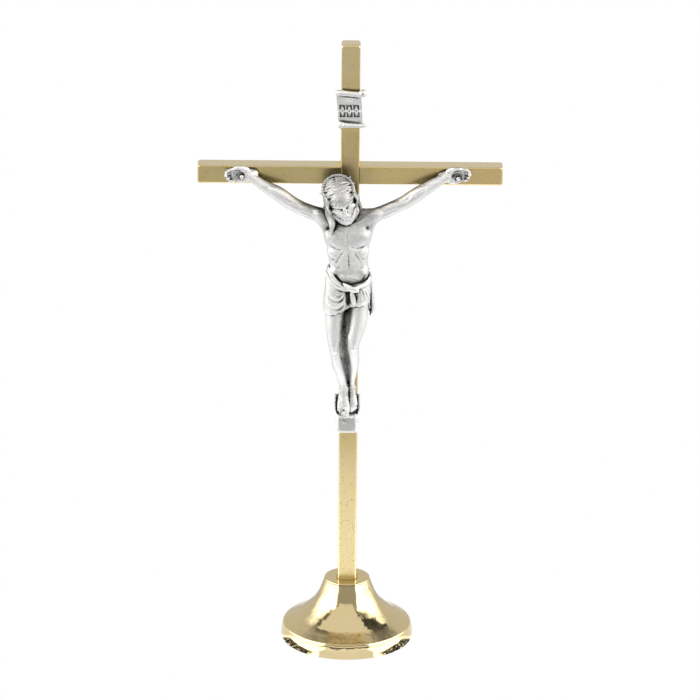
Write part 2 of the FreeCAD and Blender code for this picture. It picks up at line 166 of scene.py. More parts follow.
class Group:
    """Forms applied in order, perhaps in a frame of their own, then blended into the whole."""

    def __init__(self, blend=0.1, origin=None, axes=None, clip=None):
        self.forms, self.blend, self.clip = [], blend, clip
        self.origin, self.axes = origin, axes

    def form(self, kind, centre, radius, blend, field):
        self.forms.append(Form(kind, centre, radius, blend, field))

    # ---- forms
    def blob(self, centre, radii, blend, axes=turned(), kind="add"):
        """Ellipsoid; its radii lie along the rows of axes."""
        c, r, R = (np.asarray(v, float) for v in (centre, radii, axes))

        def field(X, Y, Z, ball, reach):
            x, y, z = X - F(c[0]), Y - F(c[1]), Z - F(c[2])
            a, b, d = ((x * F(R[i][0]) + y * F(R[i][1]) + z * F(R[i][2])) / F(r[i])
                       for i in range(3))
            k0 = np.sqrt(a * a + b * b + d * d) + F(1e-5)
            k1 = np.sqrt((a / F(r[0])) ** 2 + (b / F(r[1])) ** 2 + (d / F(r[2])) ** 2) + F(1e-5)
            return k0 * (k0 - 1) / k1
        self.form(kind, c, max(r), blend, field)

    def tube(self, stations, blend, sub=4, kind="add"):
        """Round tube through stations (x, y, z, radius)."""
        p = catmull(stations, sub)
        a, b, ra, rb = p[:-1, :3], p[1:, :3], p[:-1, 3], p[1:, 3]
        span = b - a
        length2 = (span ** 2).sum(1) + 1e-9
        mid = (a + b) / 2
        widest = np.maximum(ra, rb)
        rad = np.linalg.norm(span, axis=1) / 2 + widest
        low = (np.minimum(a, b) - widest[:, None]).min(0)
        high = (np.maximum(a, b) + widest[:, None]).max(0)
        centre = (low + high) / 2

        def field(X, Y, Z, ball, reach):
            gap = np.sqrt(((mid - ball) ** 2).sum(1))
            if (gap - rad).min() - reach > blend + 0.3:
                return None
            d = None
            for i in np.nonzero(gap - rad - reach <= (gap + reach).min())[0]:
                v, t = to_segment((X, Y, Z), a[i], span[i], length2[i])
                v = np.sqrt(v) - (F(ra[i]) + t * F(rb[i] - ra[i]))
                d = v if d is None else np.minimum(d, v)
            return d
        self.form(kind, centre, max(np.linalg.norm(mid - centre, axis=1) + rad), blend, field)

    def loft(self, stations, power, blend=0.9):
        """Upright body of superellipse sections (x, y, z, half width, half depth), z rising."""
        s = catmull(stations, 8)
        z0, z1 = s[0, 2], s[-1, 2]

        def field(X, Y, Z, ball, reach):
            cx, cy, w, d = (np.interp(Z, s[:, 2], s[:, i]).astype(F) for i in (0, 1, 3, 4))
            u, v = np.abs(X - cx) / w, np.abs(Y - cy) / d
            q = (u ** F(power) + v ** F(power) + F(1e-6)) ** F(1 / power)
            slope = (q ** F(1 - power)
                     * np.sqrt((u ** F(power - 1) / w) ** 2 + (v ** F(power - 1) / d) ** 2)
                     + F(1e-4))
            dist = (q - 1) / np.maximum(slope, 1 / (2 * np.maximum(w, d)))
            return smax(smax(dist, Z - F(z1), 0.8), F(z0) - Z, 0.8)
        centre = [s[:, 0].mean(), s[:, 1].mean(), (z0 + z1) / 2]
        self.form("add", centre, math.hypot((z1 - z0) / 2, s[:, 3].max() + 1), blend, field)

    def slab(self, planes, centre, radius, blend=0.3, soft=0.2, kind="add"):
        """Space inside every plane (nx, ny, nz, distance) or field, edges eased by soft."""
        def field(X, Y, Z, ball, reach):
            v = None
            for plane in planes:
                if callable(plane):
                    e = plane(X, Y, Z).astype(F)
                else:
                    n = unit(plane[:3])
                    e = (X * F(n[0]) + Y * F(n[1]) + Z * F(n[2])
                         - F(plane[3] / np.linalg.norm(plane[:3])))
                v = e if v is None else smax(v, e, soft)
            return v
        self.form(kind, centre, radius, blend, field)

    # ---- surface work
    def stroke(self, points, width, height, back=-8.0, in_space=False):
        """Raises (height > 0) or sinks the surface along a line that fades at both ends.

        Plain strokes are drawn as seen from the front, (x, z[, strength]), and only act in
        front of y = back; those in space are (x, y, z[, strength]).
        """
        p = np.asarray(points, float)
        w = max(width, 0.36)
        a = math.copysign(min(abs(height), 0.55 * w if w < 0.7 else abs(height)), height)
        n = 3 if in_space else 2
        if p.shape[1] == n:
            strength = np.ones(len(p))
            strength[0] = strength[-1] = 0.15
            p = np.column_stack([p, strength])
        p = catmull(p, 4)
        q, e = p[:, :n], p[:, n]
        start, span = q[:-1], q[1:] - q[:-1]
        length2 = (span ** 2).sum(1) + 1e-9
        low, high = q.min(0), q.max(0)
        centre = (low + high) / 2
        radius = np.linalg.norm(high - low) / 2 + w
        if not in_space:
            centre = np.array([centre[0], back - 4.5, centre[1]])
            radius = math.hypot(radius, 6.0)

        def field(X, Y, Z, ball, reach):
            near, amount = None, None
            where = ball if in_space else ball[[0, 2]]
            for i in range(len(start)):
                gap = np.linalg.norm(start[i] + span[i] / 2 - where)
                if gap > math.sqrt(length2[i]) / 2 + w + reach:
                    continue
                v, t = to_segment((X, Y, Z) if in_space else (X, Z), start[i], span[i],
                                  length2[i])
                m = F(e[i]) + t * F(e[i + 1] - e[i])
                if near is None:
                    near, amount = v, m
                else:
                    pick = v < near
                    near, amount = np.where(pick, v, near), np.where(pick, m, amount)
            if near is None:
                return None
            f = np.maximum(1 - near * F(1 / (w * w)), 0) ** 2 * amount
            if not in_space:
                f = f * np.clip((F(back) + F(0.8) - Y) / F(1.6), 0, 1)
            return f * F(-a)
        self.form("shift", centre, radius, 0, field)

    def texture(self, centre, radius, relief):
        """Moves the surface inwards by relief(X, Y, Z)."""
        self.form("shift", centre, radius, 0,
                  lambda X, Y, Z, ball, reach: relief(X, Y, Z).astype(F))

    # ---- the same from text tables
    def blobs(self, text, axes=turned, side=1, kind="add"):
        """Rows: centre x y z, radii, blend, and any angles for axes()."""
        for row in rows(text, side):
            self.blob(row[:3], row[3:6], row[6], axes(*row[7:]), kind)

    def tubes(self, text, side=1, sub=4, kind="add"):
        """Entries: blend, then stations x y z radius."""
        for (blend,), stations in entries(text, side):
            self.tube(stations, blend, sub, kind)

    def strokes(self, text, side=1, **where):
        """Entries: width and height, then points."""
        for (width, height), points in entries(text, side):
            self.stroke(points, width, height, **where)

    # ---- evaluation
    def seal(self):
        self.centres = np.array([form.centre for form in self.forms])
        self.radii = np.array([form.radius for form in self.forms])

    def distance(self, X, Y, Z, ball, reach):
        if self.origin is not None:
            ball = self.axes @ (ball - self.origin)
        apart = ((self.centres - ball) ** 2).sum(1)
        active = np.nonzero(apart < (self.radii + reach + 0.35) ** 2)[0]
        if not len(active):
            return None
        if self.origin is not None:
            x, y, z = (c - F(o) for c, o in zip((X, Y, Z), self.origin))
            A = self.axes.astype(F)
            X, Y, Z = (A[i, 0] * x + A[i, 1] * y + A[i, 2] * z for i in range(3))
        d = None
        for i in active:
            d = self.forms[i].apply(d, X, Y, Z, ball, reach)
        return d


class Sculpt:
    """Groups joined in order on a grid of step h; the trim is cut from the whole at the end."""

    def __init__(self, low, high, h, groups, trim):
        self.h, self.groups, self.trim = h, groups, trim
        self.low = np.asarray(low, float)
        self.n = np.ceil((np.asarray(high) - self.low) / h).astype(int) + 1

    def distance(self, X, Y, Z, ball, reach):
        d = None
        for group in self.groups:
            v = group.distance(X, Y, Z, ball, reach)
            if v is None:
                continue
            if group.clip is not None:
                v = group.clip(v, X, Y, Z)
            d = v if d is None else smin(d, v, group.blend)
        return None if d is None else self.trim(d, X, Y, Z)

    def fill(self):
        """Fills the grid block by block, skipping blocks well away from the surface."""
        for group in self.groups:
            group.seal()
        side = 12
        D = np.full(self.n, FAR, F)
        reach = self.h * (side - 1) / 2 * math.sqrt(3)
        for corner in product(*(range(0, n, side) for n in self.n)):
            corner = np.array(corner)
            size = np.minimum(side, self.n - corner)
            start = self.low + corner * self.h
            ball = start + (size - 1) * self.h / 2
            block = tuple(slice(c, c + s) for c, s in zip(corner, size))
            middle = self.distance(*(np.array([q], F) for q in ball), ball, reach)
            if middle is None:
                continue
            if abs(middle[0]) > reach * 1.25 + 0.6:
                D[block] = math.copysign(FAR, middle[0])
                continue
            lines = [(start[q] + np.arange(size[q]) * self.h).astype(F) for q in range(3)]
            X, Y, Z = (c.ravel() for c in np.meshgrid(*lines, indexing="ij"))
            d = self.distance(X, Y, Z, ball, reach)
            if d is not None:
                D[block] = np.clip(d, -FAR, FAR).reshape(size)
        D[[0, -1]] = D[:, [0, -1]] = D[:, :, [0, -1]] = FAR
        self.D = D

    def mesh(self):
        """Surface nets: one point in each crossed cell, one quad across each crossed edge."""
        D, (nx, ny, nz) = self.D, self.n
        inner = (D < 0).astype(np.uint8)
        shape = (nx - 1, ny - 1, nz - 1)
        count = np.zeros(shape, np.uint8)
        for a, b, c in product((0, 1), repeat=3):
            count += inner[a:nx - 1 + a, b:ny - 1 + b, c:nz - 1 + c]
        crossed = np.flatnonzero((count > 0) & (count < 8))
        ii, jj, kk = np.unravel_index(crossed, shape)
        corner = {(a, b, c): D[ii + a, jj + b, kk + c].astype(float)
                  for a, b, c in product((0, 1), repeat=3)}
        P, weight = np.zeros((len(crossed), 3)), np.zeros(len(crossed))
        for axis, u, v in product(range(3), (0, 1), (0, 1)):
            start, end = [u, v], [u, v]
            start.insert(axis, 0)
            end.insert(axis, 1)
            d0, d1 = corner[tuple(start)], corner[tuple(end)]
            m = (d0 < 0) != (d1 < 0)
            t = np.where(m, d0 / np.where(m, d0 - d1, 1), 0)
            for ax in range(3):
                P[:, ax] += np.where(m, (t if ax == axis else start[ax]), 0)
            weight += m
        P = P / weight[:, None] + np.stack([ii, jj, kk], 1)
        faces = []
        for axis in range(3):
            below, above = [slice(None)] * 3, [slice(None)] * 3
            below[axis], above[axis] = slice(0, -1), slice(1, None)
            edge = np.stack(np.nonzero(inner[tuple(below)] != inner[tuple(above)]), 1)
            u, v = [q for q in range(3) if q != axis]
            edge = edge[(edge[:, u] > 0) & (edge[:, v] > 0)]
            leaving = inner[edge[:, 0], edge[:, 1], edge[:, 2]] == 1
            ids = []
            for du, dv in ((-1, -1), (0, -1), (0, 0), (-1, 0)):
                cell = edge.copy()
                cell[:, u] += du
                cell[:, v] += dv
                ids.append(np.searchsorted(crossed, np.ravel_multi_index(cell.T, shape)))
            quads = np.stack(ids, 1)
            keep = leaving if axis != 1 else ~leaving
            quads[~keep] = quads[~keep][:, ::-1]
            faces.append(quads)
        return self.low + P * self.h, np.vstack(faces)

    def hollows(self, P, sizes):
        """How much of the ball round each point is metal: above 0.5 in hollows, below on edges."""
        n = self.n // 2
        full = np.clip(0.5 - self.D[:n[0] * 2, :n[1] * 2, :n[2] * 2] / self.h, 0, 1)
        full = full.reshape(n[0], 2, n[1], 2, n[2], 2).mean((1, 3, 5)).astype(F)
        step = self.h * 2
        low = self.low + self.h / 2
        pad = int(max(sizes) / step * 2) + 2
        full = np.pad(full, pad)
        low = low - pad * step
        out = []
        for size in sizes:
            w = max(1, int(round(size / step * 1.1)))
            g = full
            for axis in [0, 1, 2] * 2:            # two passes of a box average
                edges = [(w + 1, w) if q == axis else (0, 0) for q in range(3)]
                total = np.cumsum(np.pad(g, edges), axis=axis, dtype=np.float64)
                after, before = [slice(None)] * 3, [slice(None)] * 3
                after[axis], before[axis] = slice(2 * w + 1, None), slice(0, -(2 * w + 1))
                g = ((total[tuple(after)] - total[tuple(before)]) / (2 * w + 1)).astype(F)
            out.append(trilinear(g, P, step, low))
        return out


def trilinear(grid, P, step, low):
    """Value of the grid at points P."""
    q = np.clip((P - low) / step, 0, np.array(grid.shape) - 1.001)
    i = q.astype(int)
    f = q - i
    out = 0
    for corner in product((0, 1), repeat=3):
        w = 1
        for axis in range(3):
            w = w * (f[:, axis] if corner[axis] else 1 - f[:, axis])
        out = out + w * grid[tuple((i + corner).T)]
    return out


def to_object(name, P, quads):
    """Smooth-shaded object from points in millimetres and quads."""
    me = bpy.data.meshes.new(name)
    count = len(quads)
    me.vertices.add(len(P))
    me.vertices.foreach_set("co", (np.asarray(P) * MM).astype(F).ravel())
    me.loops.add(count * 4)
    me.loops.foreach_set("vertex_index", quads.astype(np.int32).ravel())
    me.polygons.add(count)
    me.polygons.foreach_set("loop_start", np.arange(0, count * 4, 4, dtype=np.int32))
    me.polygons.foreach_set("use_smooth", np.full(count, True))
    me.update(calc_edges=True)
    me.validate()
    ob = bpy.data.objects.new(name, me)
    bpy.context.scene.collection.objects.link(ob)
    return ob


def thin(ob, ratio):
    """Decimates the mesh for good."""
    ob.modifiers.new("thin", "DECIMATE").ratio = ratio
    dg = bpy.context.evaluated_depsgraph_get()
    me = bpy.data.meshes.new_from_object(ob.evaluated_get(dg))
    old = ob.data
    ob.modifiers.clear()
    ob.data = me
    bpy.data.meshes.remove(old)


def drop_specks(P, quads, smallest=200):
    """Keeps only connected parts with at least that many points; trims leave specks."""
    label = np.arange(len(P))
    edge = np.vstack([quads[:, [0, 1]], quads[:, [1, 2]], quads[:, [2, 3]]])
    while True:
        m = np.minimum(label[edge[:, 0]], label[edge[:, 1]])
        new = label.copy()
        np.minimum.at(new, edge[:, 0], m)
        np.minimum.at(new, edge[:, 1], m)
        new = new[new]
        if (new == label).all():
            break
        label = new
    keep = np.bincount(label, minlength=len(P))[label] >= smallest
    index = np.cumsum(keep) - 1
    return P[keep], index[quads[keep[quads[:, 0]]]]


def skin(name, sculpt, limit, sizes):
    """Object of at most limit triangles; attribute hollow0, 1, 2 for each ball size."""
    sculpt.fill()
    P, quads = drop_specks(*sculpt.mesh())
    ob = to_object(name, P, quads)
    triangles = 2 * len(quads)
    if triangles > limit:
        thin(ob, limit / triangles)
    me = ob.data
    me.polygons.foreach_set("use_smooth", np.full(len(me.polygons), True))
    co = np.zeros(len(me.vertices) * 3, F)
    me.vertices.foreach_get("co", co)
    points = co.reshape(-1, 3).astype(float) / MM
    for i, v in enumerate(sculpt.hollows(points, sizes)):
        me.attributes.new("hollow%d" % i, "FLOAT", "POINT").data.foreach_set("value",
                                                                           np.asarray(v, F))
    return ob


def drill(d, X, Z, x, z, radius, ease):
    """Cuts a round hole that runs from front to back."""
    return smax(d, F(radius) - np.sqrt((X - F(x)) ** 2 + (Z - F(z)) ** 2), ease)


# ============================================================================
# The figure: trunk, arms, legs and feet in one group
# ============================================================================
def add_masses(b):
    """Trunk, neck and arms, with their muscles."""
    b.loft(rows("""
        -0.6 -8.9 127.6 6.2 3.4, -0.5 -8.7 130 7 4, -0.2 -8.6 134 6.8 3.8,
        -0.2 -8.7 138.6 6.35 3.55, -0.4 -8.9 143.2 6.7 3.9, -0.55 -9 147.4 7.2 4.35,
        -0.6 -8.9 151.5 7.6 4.15, -0.55 -8.7 154.6 7 3.35, -0.5 -8.5 157.2 5.2 2.6,
        -0.5 -8.4 159 3 2"""), power=2.25)
    # shoulder girdle, neck, then each arm from shoulder to wrist
    b.tubes("""
        1.2: -3 -8 158.6 1.5, -6 -8.2 158.4 1.7, -9.4 -8.3 158.2 1.9;
        1.2: 2 -8 158.6 1.5, 4.6 -8.2 158.3 1.7, 7.6 -8.3 157.9 1.9;
        0.9: -0.4 -8.7 155.4 2.6, -1 -9.3 158.6 2.2, -1.9 -10.4 161.6 2.3;
        0.9: -5.4 -8.6 155.2 2.9, -8.6 -8.4 156.7 2.75, -11.6 -8 158.1 2.35,
        -15.2 -7.7 159.3 2.3, -18.6 -7.4 160.9 2.3, -21.4 -7.1 162.6 2.45, -24.2 -6.8 164.6 2.4,
        -27.2 -6.3 166.2 2.1, -29.8 -5.8 167.6 1.85, -32 -5.3 169 1.65, -33.8 -5 169.8 1.6;
        0.9: 4.2 -8.6 155.4 2.9, 7.4 -8.4 157.2 2.65, 10.6 -8.1 158.6 2.25, 14 -7.7 160 2.2,
        17.4 -7.4 161.5 2.25, 20 -7.1 163 2.35, 22.8 -6.8 164.9 2.35, 25.8 -6.3 166.8 2.15,
        28.6 -5.8 168.4 1.9, 30.8 -5.3 169.6 1.65, 32.6 -5 170.3 1.6""")
    # deltoids, biceps, triceps, elbows, forearm masses
    b.blobs("""
        -9.6 -9.4 158.2  2.9 1.7 1.9  0.7 -22,      8.4 -9.4 158.3  2.9 1.7 1.9  0.7 24,
        -15 -8.8 159.9  3.4 1.25 1.25  0.5 -21,     13.8 -8.8 160.9  3.4 1.25 1.25  0.5 24,
        -13.2 -7.6 157.4  3.4 1.5 1.3  0.5 -20,     12.4 -7.6 158  3.4 1.5 1.3  0.5 22,
        -21.4 -7.1 160.9  1.4 1.3 0.9  0.5 -33,     20.2 -7.1 161.6  1.4 1.3 0.9  0.5 36,
        -25 -7.7 165.4  3 1.3 1.4  0.5 -34,         23.9 -7.7 166  3 1.3 1.4  0.5 35""")
    # armpit folds: chest wall running up into the arm
    b.tubes("""
        0.8: -7.4 -9.8 148.8 0.9, -8 -9.9 152.4 1.15, -9.6 -9 156 1.3;
        0.8: 6.3 -9.8 149.2 0.9, 6.8 -9.9 152.8 1.15, 8 -9 156.2 1.3""")
    # chest muscles drawn up by the raised arms, rib arch, flanks, lower belly
    b.blobs("""
        -4.2 -11.1 150.6  3.9 2.25 3.3  0.95 -14,   3.15 -11.1 150.9  3.8 2.25 3.3  0.95 14,
        -4.6 -10.4 145.2  2.9 2.4 2.6  0.6,         3.7 -10.4 145.4  2.9 2.4 2.6  0.6,
        -4.9 -9.3 138.6  1.5 2.6 2  1.3 -30,        4.7 -9.3 138.6  1.5 2.6 2  1.3 30,
        -0.2 -10.9 135.8  3.6 1.7 2.6  0.7""")
    # abdomen, in three pairs: z, half height, half width, y
    for z, high, wide, y in rows("145 1.15 1.5 -11.55, 142.3 1.2 1.55 -11.4, 139.7 1.15 1.5 -11.1"):
        for side in (-1, 1):
            b.blob((-0.35 + side * 1.45 + (139 - z) * 0.02, y, z), (wide, 1.25, high), 0.45)


def belly_relief(X, Y, Z):
    """Uneven modelling of the ribs and belly."""
    n = (np.sin(X * 2.1 + 1.3 * np.sin(Z * 1.7)) * np.sin(Z * 2.6 + 1.1 * np.sin(X * 1.9))
         + 0.5 * np.sin(X * 4.3 + Z * 1.9) * np.sin(Z * 4.7 - X * 1.3))
    return 0.05 * n * np.clip((153.0 - Z) / 4.0, 0, 1) * np.clip((Z - 134.0) / 2.0, 0, 1)


def add_trunk_lines(b):
    # breastbone and midline, chest, rib arch, ribs and the grooves between them, groin
    b.strokes("""
        0.75 -0.2: -0.55 154, -0.75 152, -0.6 149, -0.45 147;
        0.6 -0.3: -0.5 147.4, -0.37 145.1, -0.1 141.2, 0.05 138.6;
        0.7 -0.26: -7.2 149.6, -6.4 148, -5.2 147.3, -4 146.9, -2.5 147, -0.9 147.7;
        0.7 -0.26: -0.2 148.3, 0.9 147.7, 2.2 147.3, 3.9 147.5, 5.2 148, 6.2 149.8;
        0.75 -0.28: -0.6 146.9, -2.1 145.9, -3.4 144, -4.3 141.9, -5 140.4;
        0.75 -0.28: -0.2 147, 1.4 146, 2.7 144.2, 3.5 142, 4.3 140.4;
        0.55 0.26: -6.9 146.9, -5.6 145.9, -4.4 145.9;
        0.55 0.26: -6.7 145, -5.6 144, -4.5 143.9;
        0.5 0.24: -6.4 143.1, -5.5 142.1, -4.7 142;
        0.55 0.26: 5.9 147.1, 4.7 146.1, 3.5 146.1;
        0.55 0.26: 5.8 145.2, 4.7 144.2, 3.6 144.1;
        0.5 0.24: 5.6 143.3, 4.7 142.3, 3.8 142.2;
        0.45 -0.2: -6.8 146, -5.7 145, -4.6 144.9;
        0.45 -0.2: -6.6 144.1, -5.6 143.1, -4.6 142.9;
        0.45 -0.2: 5.8 146.2, 4.7 145.2, 3.6 145.1;
        0.45 -0.2: 5.7 144.3, 4.7 143.3, 3.7 143.1;
        0.5 -0.3: -5.6 140.6, -4.2 139.8, -2.9 140.4;
        0.5 -0.24: 5.4 140.6, 4.1 139.8, 3 140.4;
        0.55 -0.26: -5.6 138, -4 136.4, -2.6 135;
        0.55 -0.26: 6.2 137.8, 5.2 136.4, 4.2 135.2""")
    b.blobs("0.02 -12.75 137.75  0.32 0.6 0.5  0.25", kind="cut")       # navel
    b.texture((-0.3, -10.0, 143.5), 11.5, belly_relief)
    # collar bones and the pit of the neck
    b.strokes("""
        0.55 0.35: -0.9 155.3, -3.2 156, -6.2 157.5;
        0.55 0.35: 0.1 155.3, 2.3 156, 5.2 157.5""")
    b.blobs("-0.45 -11.9 156  0.6 0.8 0.6  0.4", kind="cut")


def add_arm_lines(b):
    b.strokes("""
        0.5 -0.26: -11 156.9, -13.6 158.2, -17.4 159.7;
        0.5 -0.26: 9.8 157.2, 12.4 158.8, 16 160.4;
        0.5 -0.25: -8 160.2, -10.9 159.5, -12.6 159.1;
        0.5 -0.25: 6.6 160.2, 9.6 159.7, 11.4 159.8""", back=-6.5)
    b.strokes("""
        0.7 -0.3: -19 162.1, -20.8 162.6, -22 164;
        0.7 -0.3: 17.6 162.9, 19.4 163.6, 20.6 165.2""", back=-5.5)
    b.strokes("""
        0.4 -0.2: -22.6 163.9, -25.4 165.4, -29.4 167.4;
        0.4 -0.2: 21.4 164.8, 24.2 166.7, 28.4 169""", back=-4.5)


def add_legs(b):
    b.tubes("""
        0.8: -4.4 -9 129 3.3, -4.8 -10 122 3.05, -4.95 -11.4 116 2.55, -4.75 -12.4 111.6 2.05,
        -4.4 -12.2 108.6 1.85, -3.75 -11.3 105 1.75, -2.75 -10.1 101.2 1.6, -1.95 -9 97.6 1.4,
        -1.5 -8.5 94.8 1.4, -1.5 -8.4 93.4 1.45;
        0.8: 3.5 -9 129 3.2, 3.15 -10.3 122 3, 2.2 -12 116.4 2.5, 1.55 -13 112.6 2.05,
        1.75 -12.4 109.2 1.8, 2 -11.2 105.6 1.6, 1.7 -9.9 101.8 1.25, 1.3 -8.6 98 0.95,
        1.25 -7.9 95.4 0.98, 1.3 -7.7 94 1.1""")
    # thigh, knee and calf masses
    b.blobs("""
        -5.9 -10.9 119.2  1.6 2 4.4  0.7 -4 12,     -3.7 -12 115  1.2 1.3 2.4  0.6 4 14,
        4.3 -11 119.4  1.6 2 4.4  0.7 14 14,        0.7 -12.9 115.6  1.1 1.3 2.2  0.6 10 16,
        -4.75 -13.75 110.9  1.15 0.95 1.35  0.45,   1.55 -14.25 111.9  1.15 0.95 1.3  0.45,
        -4.45 -13.3 108.6  0.7 0.7 0.7  0.4,        1.7 -13.6 109.6  0.7 0.7 0.7  0.4,
        -4.15 -10.3 105.4  1.35 1.6 3  0.8 12 -18,  -2.9 -10 104.4  1.1 1.6 2.8  0.8 12 -18,
        2.3 -10.2 106.4  1.1 1.6 2.8  0.8 -4 -18,   1.5 -9.9 105.4  1 1.6 2.8  0.8 -2 -18
        """, axes=tilted)
    # thin web of metal left between the legs by the mould
    b.tubes("""
        0.25: -1.1 -5.6 126 2.4, -1.7 -5.6 119 2.2, -1.6 -5.9 112.5 2.1, -1 -6.3 106.5 1.9,
        -0.3 -6.2 101 1.5, -0.1 -5.7 96.5 1.1""")
    # shin edges
    b.strokes("""
        0.75 0.3: -4.35 -13.2 107.6, -3.7 -12.4 104.6, -2.9 -11.3 101.2, -2.2 -10 97.8;
        0.75 0.3: 1.85 -13.5 108.4, 2.05 -12.4 105.2, 1.7 -11 101.6, 1.3 -9.5 98.2
        """, in_space=True)
    # knee hollows, thigh lines
    b.strokes("""
        0.45 -0.25: -5.9 112, -6.1 110.6, -5.5 109.2;
        0.45 -0.25: -3.55 112.2, -3.45 110.8, -3.8 109.4;
        0.45 -0.25: 0.35 113.2, 0.35 111.8, 0.75 110.4;
        0.45 -0.25: 2.75 113.2, 2.85 111.8, 2.45 110.4;
        0.6 -0.14: -4.6 121.5, -4.5 117.5, -4.55 113.4;
        0.6 -0.14: 2.9 121.5, 2.3 118, 1.5 114.4""")


def add_feet(b):
    # ankle bones
    b.blobs("""
        -2.7 -8.5 94.6  0.5 0.65 0.7  0.55,     -0.5 -8.6 95  0.5 0.65 0.7  0.55,
        2.15 -7.8 95.2  0.42 0.6 0.65  0.5,     0.72 -7.9 95.4  0.42 0.6 0.65  0.5""")
    # from the ankles along the insteps
    b.tubes("""
        0.4: -1.55 -8.3 93.8 1.45, -1.6 -9.1 91.4 1.35, -1.6 -9.9 89 1.15;
        0.45: -2.4 -8.6 92.2 0.95, -2.75 -9.3 90 0.95, -2.9 -9.8 88.6 0.85;
        0.45: -0.85 -8.9 91.8 0.95, -0.55 -9.8 89.2 1, -0.3 -10.5 87.6 0.85;
        0.4: 1.3 -7.6 94.2 1.15, 1.5 -8.2 91.8 1.1, 1.65 -8.9 89.6 1;
        0.4: 2 -8 91.8 0.8, 2.4 -8.7 89.6 0.8;
        0.4: 0.95 -8.3 91.4 0.8, 1.05 -9.1 89.2 0.85""")
    # tendons
    b.strokes("""
        0.32 0.16: -0.75 -10.2 90.6, -0.4 -11.3 88.1; 0.32 0.16: -1.35 -10.6 91, -1.2 -11.1 88.2;
        0.32 0.16: -2 -10.3 91, -2 -10.9 88.4; 0.32 0.16: -2.6 -9.9 90.8, -2.7 -10.5 88.6;
        0.3 0.14: 1.15 -9.3 91.4, 1.1 -10 89.3; 0.3 0.14: 1.65 -9.2 91.4, 1.7 -9.9 89.4;
        0.3 0.14: 2.1 -8.9 91.2, 2.25 -9.5 89.6""", in_space=True)


def body():
    b = Group()
    add_masses(b)
    add_trunk_lines(b)
    add_arm_lines(b)
    add_legs(b)
    add_feet(b)
    return b


# root x y z, tip x y z, radius; the big toe of each foot first
TOES = rows("""
    -0.42 -10.5 87.5  -0.2 -11.2 86.15  0.62,    -1.32 -10.35 87.3  -1.25 -11 86.2  0.42,
    -2.02 -10.15 87.6  -2.05 -10.75 86.6  0.4,   -2.68 -9.85 87.95  -2.78 -10.35 87.05  0.37,
    -3.25 -9.5 88.4  -3.42 -9.95 87.6  0.35,     0.98 -9.5 88.7  1.05 -10.15 87.45  0.5,
    1.62 -9.35 88.7  1.72 -9.95 87.6  0.37,      2.15 -9.15 88.9  2.28 -9.7 87.9  0.35,
    2.6 -8.9 89.2  2.76 -9.4 88.3  0.32""")


def toes():
    """Toes that fan out along the sloping rest, each with a nail."""
    t = Group(blend=0.3)
    for x0, y0, z0, x1, y1, z1, r in TOES:
        middle = ((x0 + x1) / 2, (y0 + y1) / 2 - 0.18, (z0 + z1) / 2, r * 0.82)
        t.tube([(x0, y0, z0, r * 0.9), middle, (x1, y1, z1, r)], 0.06, sub=2)
        t.blob((x1, y1 - r * 0.75, z1 + 0.05), (r * 0.55, 0.12, r * 0.5), 0.08)
    return t


# z of the root, length factor, curl factor, radius; forefinger first
FINGERS = rows("1.95 1 0.8 0.64, 0.78 1.12 1 0.66, -0.45 1.05 1.25 0.63, -1.6 0.86 1.5 0.56")


def hand(side, x, z, roll):
    """Open hand nailed through the palm, fingers half curled towards the viewer.

    Its own axes run along the fingers, out of the palm and up.
    """
    a = math.radians(roll) * side
    axes = np.array([[side * math.cos(a), 0, side * math.sin(a)], [0, -1, 0],
                     [-math.sin(a), 0, math.cos(a)]])
    g = Group(blend=0.55, origin=np.array([x, -4.35, z]), axes=axes)
    # palm: heel, thumb mound, little-finger mound and the bar of knuckles round a hollow
    g.blobs("0.1 0.1 -0.1  3.35 1.2 2.85  0.4")
    g.tubes("0.6: -4.4 -0.2 -0.4 1.6, -3.2 0 -0.2 1.75, -1.9 0.1 -0.1 1.8")
    g.blobs("-1.5 0.8 1.6  1.7 1 1.15  0.45, -0.7 0.75 -1.95  2.2 0.9 0.95  0.45")
    g.tubes("0.4: 2.45 0.65 1.8 0.72, 2.95 0.65 0.3 0.75, 2.7 0.6 -1.7 0.7")
    g.blobs("0.6 1.75 -0.05  2 1.2 1.35  0.5", kind="cut")
    for i, (root, length, curl, r) in enumerate(FINGERS):
        joints = [(2.5 - 0.14 * abs(i - 1), 0.5, root, r)]
        angle = 0.25
        for bone, bend in ((1.5 * length, 0.6 * curl), (1.0 * length, 0.85 * curl),
                           (0.75 * length, 0.6 * curl)):
            n = len(joints)
            joints.append((joints[-1][0] + bone * math.cos(angle),
                           joints[-1][1] + bone * math.sin(angle),
                           root * (1 - 0.05 * n), r * (1 - 0.06 * n)))
            angle += bend
        g.tube(joints, 0.12, sub=3)
    # thumb lies along the top edge
    g.tubes("0.2: -1.9 0.95 1.9 0.85, -0.6 1.4 2.6 0.72, 0.85 1.6 2.85 0.65, 1.95 1.55 2.5 0.56")
    # creases
    g.strokes("""
        0.36 -0.2: -1.7 1.5 0.6, -0.4 1.3 -0.1, 0.3 1.3 -1.6;
        0.36 -0.18: 2.1 1.3 1.1, 0.9 1 0.7, -0.4 1.1 1.1""", in_space=True)
    return g


# ============================================================================
# Loincloth: wrapped round both thighs, a rolled edge falling from the -x hip to a knot,
# two loose ends
# ============================================================================
# x z along the front
CLOTH_TOP = np.array(rows("""
    -9 140.6, -7.4 140.2, -6.5 139.2, -5.05 137, -3.75 135.6, -2.4 134.8, -0.3 134.2, 1.5 134.2,
    3.2 134.6, 4.7 135, 6.2 135.6, 7.2 136.8, 8.5 137.2"""))
CLOTH_HEM = np.array(rows("""
    -9.5 125, -8.4 124.1, -7.6 123.6, -6 123.45, -4.1 123.9, -2 124.5, -1 125.1, 0 125.8,
    0.8 126.2, 1.9 126.55, 4 126.65, 6.2 126.9, 8.5 127.2"""))


